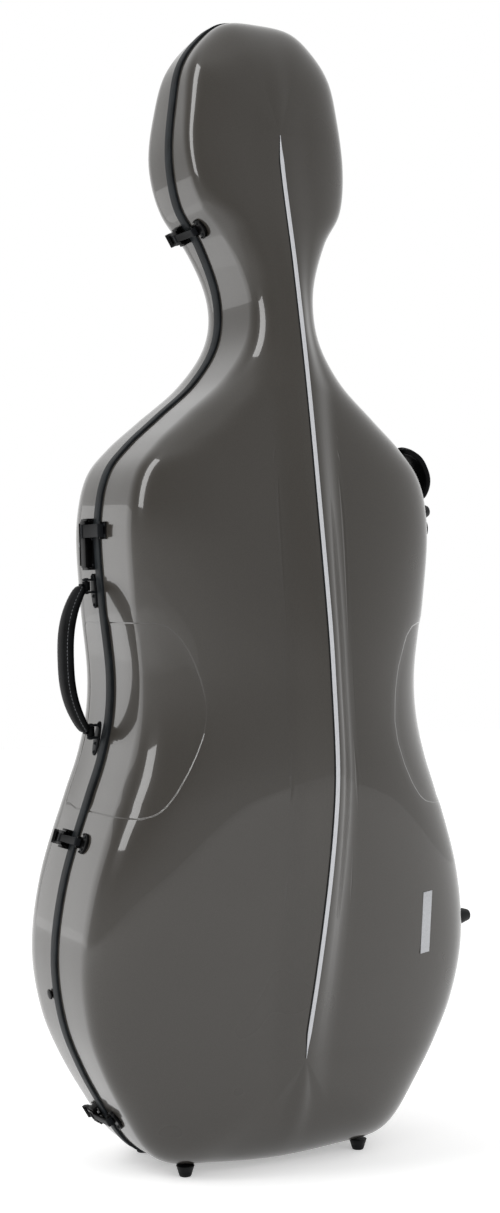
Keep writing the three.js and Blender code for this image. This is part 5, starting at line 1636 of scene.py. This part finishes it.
def studio_wall(settings):
    """The room's dim wall in front of the case and to its right, which the gloss reflects."""
    vertices, levels = [], []
    sweep = settings.wall_end - settings.wall_start
    for k in range(WALL_STEPS + 1):
        share = k / WALL_STEPS
        turn = settings.wall_start + sweep * share
        lightening = (settings.wall_light - settings.wall_dark) * share ** WALL_TURN_POWER
        own = settings.wall_dark + lightening
        pale = (settings.wall_pale - turn) / (settings.wall_pale - settings.wall_start)
        own += (1 - own) * smoothstep(min(max(pale, 0), 1))
        for row in range(WALL_ROWS + 1):
            height = settings.wall_height * row / WALL_ROWS
            vertices.append((WALL_RADIUS * math.sin(turn), -WALL_RADIUS * math.cos(turn), height))
            low = max(1 - height / settings.wall_sweep, 0)
            high = (height - settings.wall_rise) / (settings.wall_height - settings.wall_rise)
            level = own + (settings.wall_foot - own) * smoothstep(low)
            levels.append(level + (1 - level) * smoothstep(max(high, 0)))
    faces = net_faces(WALL_STEPS + 1, WALL_ROWS + 1, closed=False)
    wall = new_piece("studio_wall", vertices, faces, wall_paint())
    mark = wall.data.attributes.new("level", "FLOAT", "POINT")
    mark.data.foreach_set("value", levels)
    wall.visible_camera = False
    wall.visible_shadow = False
    return wall


def room_light():
    """White light from all round, a little dimmer than the white that the camera sees."""
    world = bpy.data.worlds.new("studio")
    world.use_nodes = True
    tree = world.node_tree
    tree.nodes.clear()
    strength = add_node(tree, "ShaderNodeMapRange", {
        "Value": directly_seen(tree), "To Min": 0.75, "To Max": 1.0})["Result"]
    light = add_node(tree, "ShaderNodeBackground", {
        "Color": linear("#ffffff"), "Strength": strength})["Background"]
    add_node(tree, "ShaderNodeOutputWorld", {"Surface": light})
    return world


class CELLOCASE_OT_stage(bpy.types.Operator):
    """Builds the floor, the room, the lights and the camera"""

    bl_idname = "cellocase.stage"
    bl_label = "Stage"

    def execute(self, context):
        scene = context.scene
        settings = scene.cellocase_stage
        half = settings.floor_half
        corners = [(-half, -half, 0), (half, -half, 0), (half, half, 0), (-half, half, 0)]
        new_piece("floor", corners, [(0, 1, 2, 3)], floor_paper())
        studio_wall(settings)
        scene.world = room_light()
        for name, (spot, width, height, power, in_gloss) in LAMPS.items():
            light = bpy.data.lights.new(name, "AREA")
            light.shape = "RECTANGLE"
            light.size = width
            light.size_y = height
            light.energy = getattr(settings, power)
            lamp = add_object(name, light)
            lamp.matrix_world = looking(Vector(spot), ROOM_MIDDLE - Vector(spot))
            lamp.visible_camera = False
            lamp.visible_glossy = in_gloss
        camera_data = bpy.data.cameras.new("camera")
        camera_data.sensor_width = SENSOR_WIDTH
        camera_data.lens = settings.lens
        camera_data.clip_start = CLIP_START
        camera_data.clip_end = CLIP_END
        camera = add_object("camera", camera_data)
        ahead = Vector((math.sin(settings.azimuth) * math.cos(settings.pitch),
                        math.cos(settings.azimuth) * math.cos(settings.pitch),
                        -math.sin(settings.pitch)))
        camera.matrix_world = looking(Vector(settings.camera_place) + Vector(ORIGIN * MM), ahead)
        scene.camera = camera
        scene.view_settings.view_transform = "Standard"
        return {"FINISHED"}


OPERATORS = (
    CELLOCASE_OT_stage, CELLOCASE_OT_shells, CELLOCASE_OT_linings, CELLOCASE_OT_seal,
    CELLOCASE_OT_trim, CELLOCASE_OT_feet, CELLOCASE_OT_hinges, CELLOCASE_OT_latches,
    CELLOCASE_OT_handles, CELLOCASE_OT_pads, CELLOCASE_OT_neck_rest, CELLOCASE_OT_bow_holders,
)
SETTINGS = {
    "cellocase_body": CaseBodySettings, "cellocase_handles": HandleSettings,
    "cellocase_fittings": FittingSettings, "cellocase_stage": StageSettings,
}


class CELLOCASE_PT_panel(bpy.types.Panel):
    """Lists the case's pieces and their settings"""

    bl_idname = "CELLOCASE_PT_panel"
    bl_label = "Cello Case"
    bl_space_type = "VIEW_3D"
    bl_region_type = "UI"
    bl_category = "Cello Case"

    def draw(self, context):
        for operator in OPERATORS:
            self.layout.operator(operator.bl_idname)
        for name, group in SETTINGS.items():
            box = self.layout.box()
            for key in group.__annotations__:
                box.prop(getattr(context.scene, name), key)


def register():
    for name, group in SETTINGS.items():
        bpy.utils.register_class(group)
        setattr(bpy.types.Scene, name, PointerProperty(type=group))
    for operator in OPERATORS:
        bpy.utils.register_class(operator)
    bpy.utils.register_class(CELLOCASE_PT_panel)


def unregister():
    bpy.utils.unregister_class(CELLOCASE_PT_panel)
    for operator in reversed(OPERATORS):
        bpy.utils.unregister_class(operator)
    for name, group in reversed(SETTINGS.items()):
        delattr(bpy.types.Scene, name)
        bpy.utils.unregister_class(group)


def main():
    register()
    for operator in OPERATORS:
        group, action = operator.bl_idname.split(".")
        getattr(getattr(bpy.ops, group), action)()


if __name__ == "__main__":
    main()
